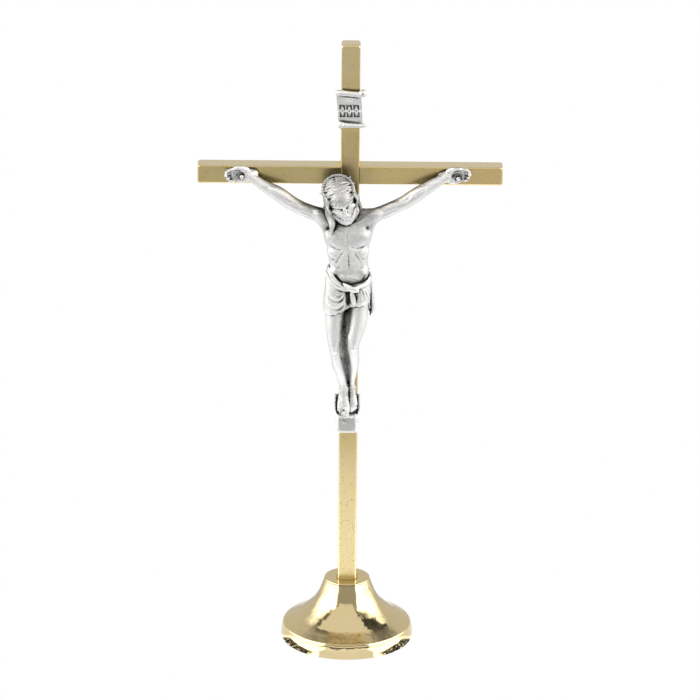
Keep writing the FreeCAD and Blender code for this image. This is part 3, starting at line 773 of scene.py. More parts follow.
def clip_cloth(d, X, Y, Z):
    """Cuts the cloth to its top edge and hem, which run plainer at the back."""
    back = np.clip((Y + F(8.8)) / F(3.0), 0, 1)
    top = (np.interp(X, CLOTH_TOP[:, 0], CLOTH_TOP[:, 1]).astype(F) * (1 - back)
           + (F(137.6) - X * F(0.12)) * back)
    hem = (np.interp(X, CLOTH_HEM[:, 0], CLOTH_HEM[:, 1]).astype(F) * (1 - back)
           + F(125.2) * back)
    hem = hem + F(0.12) * np.sin(X * F(3.1)) * (1 - back)
    return smax(smax(d, (Z - top) * F(0.85), 0.35), (hem - Z) * F(0.85), 0.35)


def cloth_wrap():
    c = Group(blend=0.06, clip=clip_cloth)
    c.loft(rows("""
        -0.8 -8.9 121 7 4, -0.7 -8.9 126 7.35 4.3, -0.5 -8.8 131 7.45 4.45,
        -0.2 -8.7 135 7.35 4.3, -0.2 -8.7 138.5 7.1 4, -0.3 -8.7 142 7 4"""), power=2.3)
    c.tubes("""
        0.8: -4.3 -9.2 134 3.9, -4.7 -9.6 129 4, -4.85 -10.1 124.5 3.85, -4.9 -10.6 121 3.7;
        0.8: 3.5 -9.2 134 3.7, 3.5 -9.7 130 3.75, 3.3 -10.2 126 3.6, 3.1 -10.8 122 3.5""")
    # the valley between the thighs (with strengths), and folds running into it
    c.strokes("""
        1.15 -0.95: -0.7 132.6 0.3, -0.35 130.8 1, -0.25 128.6 1, -0.3 126.6 0.9, -0.9 124.2 0.7;
        0.62 -0.3: -7.9 130.4, -6.1 128.6, -4.1 128, -2.5 128.6, -1.1 130.8;
        0.6 0.26: -7.6 131.6, -5.8 129.7, -4.1 129, -2.4 129.8, -1.3 131.9;
        0.42 -0.24: -5.4 131.6, -4.5 130.4, -3.4 129.9, -2.4 130.8;
        0.45 0.2: -5.2 132.4, -4 131.2, -2.9 131, -2 131.9;
        0.6 0.28: -7.7 127.6, -5.6 126.4, -3.4 126.5, -1.6 128, -0.9 129.6;
        0.5 -0.26: -7.2 126.4, -5 125.3, -2.9 125.6, -1.3 127.2;
        0.45 0.26: -5.4 124.5, -3.4 124.8, -1.7 126, -0.8 127.6;
        0.3 -0.2: -4.2 124, -2.6 124.7, -1.2 126;
        0.6 -0.22: -8.6 136, -8.3 132, -8.4 127;
        0.55 0.14: -7.4 134.6, -7.2 130.6, -7.5 125.6""")
    # ridges fanning down from the knot, each with a groove on its +x side
    for x0, x1, x2, z2 in rows("3.9 4.3 4.3 128, 4.8 5.5 5.9 128.6, 5.6 6.5 7 128.4"):
        spread = (x0 - 3.3) * 0.5
        c.stroke([(3.3 + spread, 133.2, 0.4), (x0 + 0.1, 132.2, 1.0), (x1, 130.4, 0.9),
                  (x2, z2, 0.1)], 0.42, 0.24)
        c.stroke([(3.6 + spread, 133.0, 0.3), (x0 + 0.55, 131.9, 1.0), (x1 + 0.5, 130.2, 0.8),
                  (x2 + 0.5, z2 + 0.3, 0.1)], 0.36, -0.26)
    c.strokes("""
        0.55 -0.22: 2.9 131.6, 2.6 129.4, 1.4 127.2;
        0.4 0.16: 5.6 127.4, 3.8 127.5, 1.6 127.6;
        0.4 -0.14: 5.9 128.3, 3.6 128.2, 1.9 128.5""")
    return c


def cloth_roll():
    """Rolled edge from the -x hip to the knot, carried round the back."""
    r = Group(blend=0.1)
    r.tubes("""
        0.1: -5.8 -5.2 138.9 0.85, -6.6 -7 138.4 0.95, -6.85 -9.3 137.2 1.1,
        -6.15 -11.3 135.8 1.2, -4.75 -12.5 134.5 1.3, -3.1 -13.1 133.6 1.15,
        -1.6 -13.5 133.1 0.95, 0 -13.7 132.9 0.75""", sub=5)
    for up, height in rows("0.75 0.22, 0.05 -0.34, -0.6 0.24, -0.95 -0.26, 0.45 -0.2"):
        r.stroke([(-8.4, 138.9 + up), (-7.3, 137.4 + up), (-6.1, 135.9 + up),
                  (-4.7, 134.6 + up * 0.85), (-3.1, 133.6 + up * 0.7), (-1.4, 133.0 + up * 0.45)],
                 0.3, height, back=-6.5)
    r.tubes("""
        0.1: 7 -9.2 135 0.6, 6 -11.6 134.5 0.7, 4.6 -12.9 134.15 0.72, 2.9 -13.6 133.6 0.72;
        0.1: 7 -9.2 135 0.6, 7 -7.2 135.6 0.65, 6.2 -5.2 136.6 0.7;
        0.1: 6.4 -5.2 136.8 0.8, 3.4 -4.75 137.4 0.8, -0.2 -4.65 138 0.85, -3.8 -4.75 138.5 0.9,
        -5.8 -5.2 138.9 0.85""", sub=5)
    r.strokes("0.22 -0.2: 7.6 135.1, 6 134.6, 4.4 134.2, 3 133.7")
    return r


def cloth_knot():
    """One turn crossing over, with the gathered ends."""
    n = Group(blend=0.08)
    n.tubes("""
        0.1: -1.9 -13.5 134.9 0.35, -1 -13.9 134.3 0.72, 0.3 -14.15 133.5 0.95,
        1.6 -14.2 132.9 0.95, 2.9 -13.9 132.5 0.6""")
    n.blobs("2.2 -13.8 133.2  1.15 0.95 0.95  0.25")
    for up in (0.42, -0.05, -0.5):
        n.stroke([(-1.6, 134.75 + up * 0.4), (-0.3, 133.9 + up), (1.4, 133.0 + up),
                  (2.8, 132.5 + up * 0.5)], 0.24, -0.22)
    return n


def cloth_end():
    """Short end hanging from the knot."""
    e = Group(blend=0.08)
    e.tubes("""
        0.2: 0.9 -13.9 132.6 0.5, 1.05 -13.75 131 0.72, 1.4 -13.55 129.3 0.9,
        1.62 -13.35 128 0.85""")
    e.strokes("""
        0.28 -0.34: 0.95 132.2, 1.15 130.2, 1.45 127.6;
        0.22 0.16: 0.55 131.9, 0.65 130.2, 0.75 128;
        0.22 0.16: 1.35 131.9, 1.75 130.2, 2.15 128""")
    return e


def cloth_tail():
    """Long tail at the +x hip, in three ridges."""
    t = Group(blend=0.1)
    t.tubes("""
        0.12: 6.6 -9.6 134.6 0.55, 6.75 -9.4 132 0.6, 6.8 -9.1 129.2 0.62, 6.75 -8.8 126.6 0.6,
        6.85 -8.5 124.6 0.5;
        0.12: 7.2 -8.6 134.6 0.6, 7.5 -8.4 131.6 0.8, 7.8 -8.2 128.4 0.9, 7.95 -8 125.4 0.95,
        8 -7.9 123.4 0.85, 7.4 -8 122 0.5;
        0.12: 7 -7.4 134.4 0.7, 7.3 -7.1 131 0.9, 7.5 -6.8 127 1, 7.5 -6.7 123.2 0.9""")
    t.strokes("0.25 -0.3: 7.1 133.6, 7.2 130, 7.3 126, 7.45 123", back=-7.0)
    t.strokes("0.22 -0.16: 7.9 132, 8.2 128, 8.45 124.6", back=-6.6)
    return t


# ============================================================================
# Head: bowed and leaning to -x, modelled in its own axes (right, forward, up)
# ============================================================================
def head_axes(yaw=9.0, bow=27.0, roll=12.5):
    def turn(v, axis, degrees):
        k, a = np.array(axis, float), math.radians(degrees)
        return v * math.cos(a) + np.cross(k, v) * math.sin(a) + k * (k @ v) * (1 - math.cos(a))
    axes = np.array([[1.0, 0, 0], [0, -1.0, 0], [0, 0, 1.0]])
    for axis, degrees in (((0, 0, 1), yaw), ((1, 0, 0), bow), ((0, 1, 0), -roll)):
        axes = [turn(v, axis, degrees) for v in axes]
    return np.array(axes)


HEAD_CENTRE = np.array([-3.0, -12.3, 164.7])
HEAD_AXES = head_axes()
CROWN_X, CROWN_Y = 4.98, 6.12       # radii of the band of thorns
CROWN_BACK, CROWN_UP = -1.15, 3.25  # its centre, forward and up in the head's axes


def head_group(blend):
    return Group(blend=blend, origin=HEAD_CENTRE, axes=HEAD_AXES)


def face():
    h = head_group(0.35)
    # skull and jaw
    h.blobs("""
        0 -0.9 1.75  4.5 5.6 4.8  0.5,    0 1.4 -2  3.65 3.75 5  1.2,
        0 2.3 2.4  3.7 2.9 2.9  0.9""")
    for side in (-1, 1):                # jawline, cheekbone, ear
        h.tubes("""
            0.7: 4 -0.8 -1.8 0.9, 3.45 0.3 -4.2 0.95, 2 2.4 -5.8 0.95, 0.7 3.7 -6.3 0.9
            """, side)
        h.blobs("2.75 3 -1.25  1.35 1.15 0.85  0.8, 4.55 -0.9 -0.6  0.55 1 1.5  0.3", side=side)
    # chin and brow
    h.blobs("0 3.9 -6.15  1.35 1.15 1.05  0.6")
    h.tubes("""
        0.6: -3.3 3.2 1 0.45, -2.3 4.25 1.4 0.5, -1 4.95 1.3 0.48, 0 5.05 1.15 0.45,
        1 4.95 1.3 0.48, 2.3 4.25 1.4 0.5, 3.3 3.2 1 0.45""")
    for side in (-1, 1):                # eye socket and eye; lid, crease above it, eyebrow
        h.blobs("1.75 5.15 0.1  1.3 1 0.85  0.5", side=side, kind="cut")
        h.blobs("1.75 4.05 -0.02  0.98 0.82 0.66  0.14", side=side)
        h.strokes("""
            0.26 -0.26: 0.85 4.75 -0.22, 1.35 4.95 -0.42, 2.1 4.8 -0.42, 2.75 4.2 -0.16;
            0.2 -0.14: 0.9 4.8 0.3, 1.5 4.95 0.62, 2.2 4.6 0.6, 2.8 4 0.25;
            0.3 0.14: 0.7 5.3 1.35, 1.5 5.2 1.72, 2.4 4.7 1.66, 3.1 3.9 1.3
            """, side, in_space=True)
    # nose
    h.tubes("0.55: 0 4.6 1.2 0.5, 0 5.05 -0.2 0.5, 0 5.6 -1.5 0.56, 0 5.9 -2.3 0.66")
    for side in (-1, 1):                # wing, nostril, fold beside the mouth
        h.blobs("0.68 5.3 -2.5  0.46 0.6 0.44  0.3", side=side)
        h.blobs("0.36 5.6 -3  0.2 0.3 0.16  0.1", side=side, kind="cut")
        h.strokes("0.34 -0.16: 1.05 5.2 -2.5, 1.5 4.8 -3.3, 1.85 4.3 -4.3", side, in_space=True)
    # mouth: mound, lips and the line between them
    h.blobs("0 4.25 -4.3  1.7 1.05 1.45  0.6")
    h.tubes("""
        0.18: -1.25 4.75 -4.5 0.16, -0.6 5.3 -4.2 0.27, 0 5.38 -4.28 0.24, 0.6 5.3 -4.2 0.27,
        1.25 4.75 -4.5 0.16;
        0.18: -1.05 4.8 -4.78 0.16, -0.45 5.2 -4.95 0.3, 0.45 5.2 -4.95 0.3, 1.05 4.8 -4.78 0.16
        """)
    h.strokes("""
        0.2 -0.24: -1.35 4.8 -4.6, -0.6 5.45 -4.58, 0 5.55 -4.64, 0.6 5.45 -4.58, 1.35 4.8 -4.6
        """, in_space=True)
    h.blobs("0 4.9 -5.5  0.8 0.4 0.28  0.3", kind="cut")
    return h


def beard():
    """Short beard and moustache, combed in strands."""
    b = head_group(0.22)
    for side in (-1, 1):
        b.tubes("""
            0.5: 4.2 -0.7 -0.6 0.7, 4 0 -2.6 0.95, 3.3 1.3 -4.7 1.15, 1.9 3 -6.5 1.25,
            0.6 4 -7.3 1.1;
            0.2: 0.14 5.3 -3.55 0.24, 0.8 5.05 -3.75 0.32, 1.4 4.5 -4.3 0.32, 1.75 3.9 -5.2 0.3,
            1.8 3.5 -6.2 0.3""", side)
    b.blobs("0 3.9 -6.9  1.45 1.25 1.35  0.5")
    b.tubes("""
        0.2: 0 5.05 -5.65 0.3, 0 4.9 -6.2 0.45;
        0.3: -0.55 4.2 -7.6 0.75, -0.35 4 -8.5 0.35;
        0.3: 0.55 4.2 -7.6 0.75, 0.4 4 -8.4 0.35""")

    def comb(X, Y, Z):
        w = np.sin(X * 6.2 + np.sin(Z * 1.9 + X) * 0.9 + np.sin(Y * 2.3) * 0.8)
        return 0.11 * np.abs(w) * np.clip((-2.6 - Z) / 0.8, 0, 1)
    b.texture((0, 2.0, -5.5), 5.5, comb)
    return b


def hair_cap():
    """Close cap of hair parted in the middle, swept back over the ears."""
    c = head_group(0.12)
    c.blobs("""
        0 -1.25 1.5  5 6.2 5  0.3,            -3.9 -1.4 -0.6  1.9 3.2 3.9  0.8,
        3.9 -1.4 -0.6  1.9 3.2 3.9  0.8,      0 -4.4 -1.6  4.2 2.3 4.2  0.9""")
    c.blobs("0 6.6 -2.2  3.55 4.4 6.3  0.5, 0 1.5 -6.5  3.2 3.6 4.6  0.5", kind="cut")

    def swept(X, Y, Z):
        q = (Y * 1.1 + np.abs(X) * 1.25 + 0.4 * np.sin(X * 0.9 + Z * 1.1)
             + 0.3 * np.sin(Z * 1.9 + Y * 1.3))
        return 0.13 * (np.abs(np.sin(q * 2.3)) - 0.5) + 0.06 * np.abs(np.sin(q * 5.6 + 1.3))
    c.texture((0, -1.3, 1.0), 8.0, swept)
    for side in (-1, 1):
        for i in range(19):             # strands from the parting down, front to back
            front = 5.0 - 10.6 * i / 18
            strand = []
            for j in range(7):
                q = j / 6
                a = math.radians(7 + 88 * q)
                f = (front - 2.3 * q * q - 0.3 * math.sin(3.1 * q + i * 1.3)
                     - 0.16 * math.sin(7.0 * q + i * 2.4))
                e = math.sqrt(max(0.02, 1 - ((f + 1.25) / 6.5) ** 2))
                strand.append((side * 4.9 * math.sin(a) * e, f, 1.5 + 4.92 * math.cos(a) * e,
                               (0.33 + 0.07 * math.sin(i * 2.7))
                               * (0.8 + 0.2 * math.sin(math.pi * q))))
            c.tube(strand, 0.1, sub=3)
    c.strokes("0.5 -0.25: 0 3.7 4.6, 0 1.6 6.3, 0 -1.5 6.8, 0 -4.5 5.9", in_space=True)
    return c


def hair_waves():
    """Waves over the temples, and locks down the back of the head."""
    w = head_group(0.1)
    for side in (-1, 1):
        for i in range(13):
            t = i / 12
            front = 3.1 - 6.0 * t
            length = 8.6 + 1.4 * math.sin(i * 2.1)
            lock = []
            for j in range(8):
                q = j / 7
                bulge = 0.95 * math.sin(math.pi * min(1.0, q * 1.2))
                lock.append((side * (4.0 + 0.55 * math.sin(math.pi * min(1, t + 0.3)) + bulge
                                     - 0.7 * q + 0.2 * math.sin(8.0 * q + i * 2.6)),
                             front - 1.7 * q * (1 - t) + 0.33 * math.sin(6.5 * q + i * 1.1),
                             3.4 - 1.0 * t - length * q,
                             (0.47 + 0.1 * math.sin(i * 1.7)) * (1 - 0.5 * q * q)))
            w.tube(lock, 0.08, sub=3)
    for i in range(9):
        x0 = -4.2 + 8.4 * i / 8
        lock = []
        for j in range(6):
            q = j / 5
            lock.append((x0 * (1 - 0.12 * q) + 0.18 * math.sin(6 * q + i * 2.3),
                         -6.1 - 0.35 * math.sin(math.pi * q) + 0.08 * abs(x0) + 0.9 * q,
                         2.4 - 8.6 * q + 0.5 * math.sin(i * 1.3), 0.72 * (1 - 0.35 * q * q)))
        w.tube(lock, 0.1)
    return w


def thorn_crown():
    """Band woven of three strands, tipped up at the back, with fifteen thorns."""
    k = head_group(0.08)
    steps = 64
    for m in range(3):
        strand = []
        for j in range(steps + 1):
            a = 2 * math.pi * j / steps
            twist = 11 * a + m * 2 * math.pi / 3
            out = 0.42 * math.cos(twist)
            rx, ry = CROWN_X + out, CROWN_Y + out
            strand.append((rx * math.sin(a), CROWN_BACK + ry * math.cos(a),
                           CROWN_UP - 0.12 * ry * math.cos(a) + 0.5 * math.sin(twist), 0.36))
        k.tube(strand, 0.05, sub=2)
    for j in range(15):
        a = 2 * math.pi * (j + 0.35 * math.sin(j * 3.7)) / 15
        outward = np.array([math.sin(a), math.cos(a), 0.0])
        up = (0.9 if j % 2 else -0.55) * (0.8 + 0.2 * math.sin(j * 5.1))
        base = np.array([5.12 * math.sin(a), CROWN_BACK + 6.26 * math.cos(a),
                         CROWN_UP - 0.76 * math.cos(a)])
        tip = base + outward * 0.45 + np.array([0.8 * math.cos(a + j), -0.8 * math.sin(a + j),
                                                up * 0.95])
        k.tube([(*base, 0.34), (*tip, 0.16)], 0.08)
    return k


# start, end, spread, strands, waviness; in the frame of the whole
TRESSES = (
    ((-7.1, -10.6, 164.2), (-5.8, -12.7, 153.4), 1.2, 10, 0.4),
    ((-7.4, -8.6, 163.9), (-7.9, -9.6, 154.8), 1.0, 6, 0.36),
    ((1.5, -10.8, 164.4), (2.3, -10.7, 158.2), 0.85, 7, 0.32),
    ((1.7, -8.6, 165.0), (3.3, -8.4, 158.6), 1.0, 8, 0.36))


def tresses():
    """Tresses that fall on the shoulders, two on each side."""
    g = Group(blend=0.12)
    for (sx, sy, sz), (ex, ey, ez), spread, count, wave in TRESSES:
        for i in range(count):
            a = 2 * math.pi * i / count
            strand = []
            for j in range(11):
                q = j / 10
                wide = (spread * (0.55 + 0.45 * math.sin(math.pi * min(1.0, 0.15 + 0.85 * q)))
                        * (1 - 0.45 * q ** 2))
                phase = 9.5 * q + 0.9 + 0.55 * math.sin(i * 1.9)
                strand.append((
                    sx + (ex - sx) * q + math.cos(a) * wide
                    + wave * math.sin(phase) * (0.4 + 0.6 * q),
                    sy + (ey - sy) * q ** 0.8 + math.sin(a) * wide * 0.7
                    + 0.7 * wave * math.cos(phase),
                    sz + (ez - sz) * q + 0.3 * math.sin(i * 2.2) * q * 3,
                    (0.44 + 0.06 * math.sin(phase + 1.0)) * (1 - 0.4 * q * q)))
            g.tube(strand, 0.1)
    return g


def trim_figure(d, X, Y, Z):
    d = smax(d, Y + F(3.215), 0.12)                       # backs of the hands lie flat
    # soles rest on the sloping foot rest
    n = unit([0, -6.0, 4.9])
    slope = (Y + F(9.0)) * F(n[1]) + (Z - F(85.0)) * F(n[2])
    rest = np.maximum(np.maximum(slope, Y + F(3.0)), np.abs(X + F(0.4)) - F(5.0))
    rest = np.maximum(rest, F(80.0) - Z)
    d = smax(d, -(rest - F(0.06)), 0.1)
    for x, z in ((-HAND_NAIL_X, HAND_NAIL_Z), (HAND_NAIL_X, HAND_NAIL_Z),
                 (FOOT_NAIL_X, FOOT_NAIL_Z)):
        d = drill(d, X, Z, x, z, NAIL_HOLE, ease=0.05)
    return d


def build_figure(h):
    groups = [body(), toes(), hand(-1, -36.9, 170.6, roll=-6.0), hand(1, 35.5, 170.9, roll=3.0),
              cloth_wrap(), cloth_roll(), cloth_end(), cloth_knot(), cloth_tail(),
              face(), beard(), hair_cap(), hair_waves(), thorn_crown(), tresses()]
    sculpt = Sculpt((-43.8, -20.4, 84.0), (42.4, -2.9, 174.2), h, groups, trim_figure)
    return skin("figure_sculpt", sculpt, limit=190000, sizes=(0.35, 0.9, 2.2))


# ============================================================================
# Foot rest and title scroll, cast like the figure
# ============================================================================
SLOPE_Y, SLOPE_Z, SLOPE_AT = 0.7746, 0.6326, 60.742     # plane of the sloping top
TRAY_DEPTH = 0.95


def rest_sides(inset=0.0):
    """The two sides, bulging a little near the top."""
    def field(X, Y, Z):
        w = (4.2 - 0.052 * (91.0 - Z) + 0.42 * np.clip(1 - ((Z - 87.8) / 3.6) ** 2, 0, 1)
             - inset)
        return np.abs(X + F(0.4)) - w
    return field


def build_rest(h):
    """Sloping foot rest: a shallow tray inside a thin rim, chamfered front corners."""
    g = Group()
    g.slab([(0, 1, 0, BAR_FRONT), (0, 0, 1, 91.0), (0, -SLOPE_Y, SLOPE_Z, SLOPE_AT),
            (0, -6.2, -0.25, 34.55), (0, 0, -1, -78.8), rest_sides(),
            (1, -0.9, 0, 10.75), (-1, -0.9, 0, 11.65)], (0, -6, 85), 9.5, soft=0.14)
    # tray: same slope, sunk, inside the rim
    g.slab([(0, SLOPE_Y, -SLOPE_Z, -SLOPE_AT + TRAY_DEPTH), (0, -1, 0, 8.35), (0, 1, 0, -3.9),
            rest_sides(inset=0.62), (0, 0, 1, 96)],
           (0, -6, 89), 7.0, blend=0.12, soft=0.12, kind="cut")
    # front face dressed a little below its border
    g.slab([(0, 1, 0, -8.83), (0, -1, 0, 12.0), lambda X, Y, Z: np.abs(X + F(0.45)) - 2.8,
            (0, 0, 1, 84.35), (0, 0, -1, -79.3)], (0, -9, 81.8), 5.5, blend=0.1, kind="cut")

    def cast(X, Y, Z):
        n = (np.sin(X * 3.1 + 1.7 * np.sin(Z * 2.3)) * np.sin(Z * 4.3 + 1.3 * np.sin(X * 2.9))
             + 0.6 * np.sin(X * 7.9 + Z * 3.7) * np.sin(Z * 8.3 - X * 2.1))
        return 0.045 * n
    g.texture((0, -7, 84), 8.5, cast)

    def trim(d, X, Y, Z):
        d = drill(d, X, Z, -1.5, 82.7, 0.5, ease=0.06)
        return drill(d, X, Z, FOOT_NAIL_X, FOOT_NAIL_Z, NAIL_HOLE, ease=0.06)
    sculpt = Sculpt((-5.8, -10.2, 78.0), (5.0, -2.6, 92.0), h, [g], trim)
    return skin("foot_rest_cast", sculpt, limit=60000, sizes=(0.35, 0.8, 1.6))


def leaning_edge(side, x, lean, z):
    """Edge facing side (-1 or 1) that passes x at height z and moves to +x going down."""
    return lambda X, Y, Z: side * (X - (x + lean * (z - Z)))


def add_title_ornament(g):
    """Three lozenges with sunk centres, between four upright bars with beads."""
    for i, x in enumerate((-2.75, -0.4, 1.95)):
        z = 193.15 - 0.02 * i

        def lozenge(X, Y, Z, x=x, z=z):
            across = np.abs(X - x - 0.05 * (z - Z)) / 0.92
            return (across + np.abs(Z - z) / 1.95 - 1) * 0.8
        g.slab([(0, 1, 0, -3.4), (0, -1, 0, 4.22), lozenge], (x, -3.9, z), 2.6, blend=0.1,
               soft=0.16)
        g.blob((x, -4.25, z), (0.26, 0.3, 0.5), 0.1, kind="cut")
    for x in (-3.92, -1.58, 0.78, 3.1):
        g.tube([(x - 0.1, -3.95, 195.0, 0.24), (x + 0.12, -3.95, 191.3, 0.24)], 0.12)
        g.blob((x, -4.1, 193.15), (0.34, 0.3, 0.34), 0.1)


def add_title_rolls(g):
    # upper roll: thin at -x, turned under in a spiral at +x
    g.tubes("""
        0.25: -4.6 -4.15 199.65 0.85, -3.4 -4.2 199.62 1.05, -1 -4.25 199.4 0.98,
        1.4 -4.3 199.2 1, 2.8 -4.35 199.15 1.05, 4 -4.35 199.4 1.15;
        0.1: 3.95 -4.4 199.55 1.28, 4.2 -4.35 199.6 1.3""")
    g.tubes("""
        0.12: 4 -4.75 200.85 0.2, 3.2 -5.3 200.5 0.24, 2.75 -5.45 199.6 0.26,
        3.15 -5.45 198.75 0.24, 4 -5.3 198.5 0.2""", kind="cut")
    g.blobs("4.15 -5.65 199.55  0.32 0.35 0.36  0.1", kind="cut")
    # lower roll: spiral at -x, running thinner to +x
    g.tubes("""
        0.22: -3.15 -4.35 188.4 1.28, -2.3 -4.35 188.3 1.12, -1 -4.3 188.15 1,
        1.2 -4.25 188.1 0.9, 3.4 -4.15 188.05 0.78, 4.95 -4.05 188.15 0.58""")
    g.tubes("""
        0.12: -2.9 -5 189.5 0.2, -2.15 -5.35 189.1 0.24, -1.9 -5.4 188.3 0.24,
        -2.3 -5.4 187.5 0.22""", kind="cut")
    g.blobs("-3.2 -5.65 188.4  0.3 0.32 0.34  0.1", kind="cut")
    # grooves where the leaf meets the rolls
    g.strokes("""
        0.4 -0.22: -4.2 198.5, -1 198.25, 1.4 198.05, 3.9 197.6;
        0.4 -0.22: -3.6 189.8, -1 189.45, 1.6 189.25, 4.4 188.95""", back=-3.6)


def build_title(h):
    """Title plate as an unrolled, leaning scroll with a sunk, ornamented band."""
    g = Group()
    g.slab([(0, 1, 0, BAR_FRONT), (0, -1, 0, 4.12), leaning_edge(-1, -4.82, 0.070, 198.6),
            leaning_edge(1, 3.62, 0.058, 198.6), (0, 0, 1, 199.6), (0, 0, -1, -188.3)],
           (0, -3.7, 194), 8.0, soft=0.16)
    g.slab([(0, 1, 0, -3.52), (0, -1, 0, 8.0), leaning_edge(-1, -4.05, 0.06, 195.3),
            leaning_edge(1, 3.05, 0.05, 195.3), (0, 0, 1, 195.35), (0, 0, -1, -191.0)],
           (0, -4.6, 193.2), 6.5, blend=0.12, soft=0.14, kind="cut")
    add_title_ornament(g)
    add_title_rolls(g)
    g.blobs("-0.45 -4.05 197.2  1.25 0.4 0.78  0.12")     # boss under the pin
    g.texture((0, -4, 194), 10.0, lambda X, Y, Z: (
        0.022 * np.sin(X * 5.3 + 1.3 * np.sin(Z * 3.1)) * np.sin(Z * 5.9 + 1.1 * np.sin(X * 4.1))))

    def trim(d, X, Y, Z):
        d = smax(d, Y + F(-BAR_FRONT), 0.05)
        return drill(d, X, Z, 0.0, 197.4, 0.6, ease=0.06)
    sculpt = Sculpt((-6.2, -6.6, 186.2), (7.6, -2.6, 202.2), h, [g], trim)
    return skin("title_scroll", sculpt, limit=90000, sizes=(0.3, 0.6, 1.2))


# ============================================================================
# The foot, turned: one closed skin with the square socket and the screw hole
# ============================================================================
# radius z, from the top face round the rim and up the inside to the screw hole
FOOT_LIP = rows("7.35 22, 7.52 21.97, 7.66 21.9, 7.77 21.78, 7.83 21.6, 7.86 21.3")
FOOT_BELL = rows("""
    7.86 21.3, 8.2 20.4, 8.95 18.4, 9.95 16, 11.5 13.5, 13.3 11.5, 14.95 10, 17 8.38, 19 7.13,
    20.8 6.05, 21.75 5.5""")
FOOT_RIM = rows("""
    21.75 5.5, 21.98 5.32, 22.14 5.05, 22.26 4.7, 22.36 4.3, 22.46 3.8, 22.56 3.25, 22.65 2.65,
    22.71 2.1, 22.75 1.45, 22.73 0.7, 22.6 0.22, 22.4 0.1""")
FOOT_EDGE = rows("21 0.1, 20.9 0.2, 20.9 3.9")
FOOT_INSIDE = rows("""
    20.9 3.9, 19.2 5.1, 17.6 6.05, 15.6 7.3, 13.6 8.7, 11.6 10.3, 9.7 12.3, 8.4 14, 7.6 15.5""")
SCREW_HOLE = rows("4.5 15.5, 2.4 15.5, 2.25 15.6, 2.25 19.4")


def build_foot(n=384):
    profile = [*FOOT_LIP, *catmull(FOOT_BELL, 9)[1:], *catmull(FOOT_RIM, 6)[1:], *FOOT_EDGE,
               *catmull(FOOT_INSIDE, 4)[1:], *SCREW_HOLE]
    angle = 2 * np.pi * np.arange(n) / n
    c, s = np.cos(angle), np.sin(angle)

    def ring(r, z):
        return np.stack([r * c, r * s, np.full(n, z)], 1)
    rings = [ring(r, z) for r, z in profile]
    square = 1 / np.maximum(np.abs(c), np.abs(s))
    half = BAR / 2 + 0.05                                 # socket, with chamfers of 0.1
    rings.append(ring(2.3, 19.5))
    rings += [ring(r * square, z) for r, z in
              ((half - 0.1, 19.5), (half, 19.6), (half, 21.9), (half + 0.1, 22.0))]
    for t in (0.35, 0.7):                                 # square to round on the top face
        rings.append(ring(((half + 0.1) * square) * (1 - t) + FOOT_LIP[0][0] * t, 22.0))
    m = len(rings)
    i = np.arange(n)
    j = (i + 1) % n
    quads = [np.stack([a * n + i, ((a + 1) % m) * n + i, ((a + 1) % m) * n + j, a * n + j], 1)
             for a in range(m)]
    return to_object("bell_foot_turned", np.vstack(rings), np.vstack(quads))


# ============================================================================
# Shader graphs written as arithmetic
# ============================================================================
def operator(op, swap=False):
    def apply(self, other):
        return self.graph.math(op, *((other, self) if swap else (self, other)))
    return apply


class Val:
    """An output socket that can be added, multiplied and so on."""

    def __init__(self, graph, socket):
        self.graph, self.socket = graph, socket

    __add__, __radd__ = operator("ADD"), operator("ADD", swap=True)
    __sub__, __rsub__ = operator("SUBTRACT"), operator("SUBTRACT", swap=True)
    __mul__, __rmul__ = operator("MULTIPLY"), operator("MULTIPLY", swap=True)
    __truediv__ = operator("DIVIDE")

    def __neg__(self):
        return self * -1.0


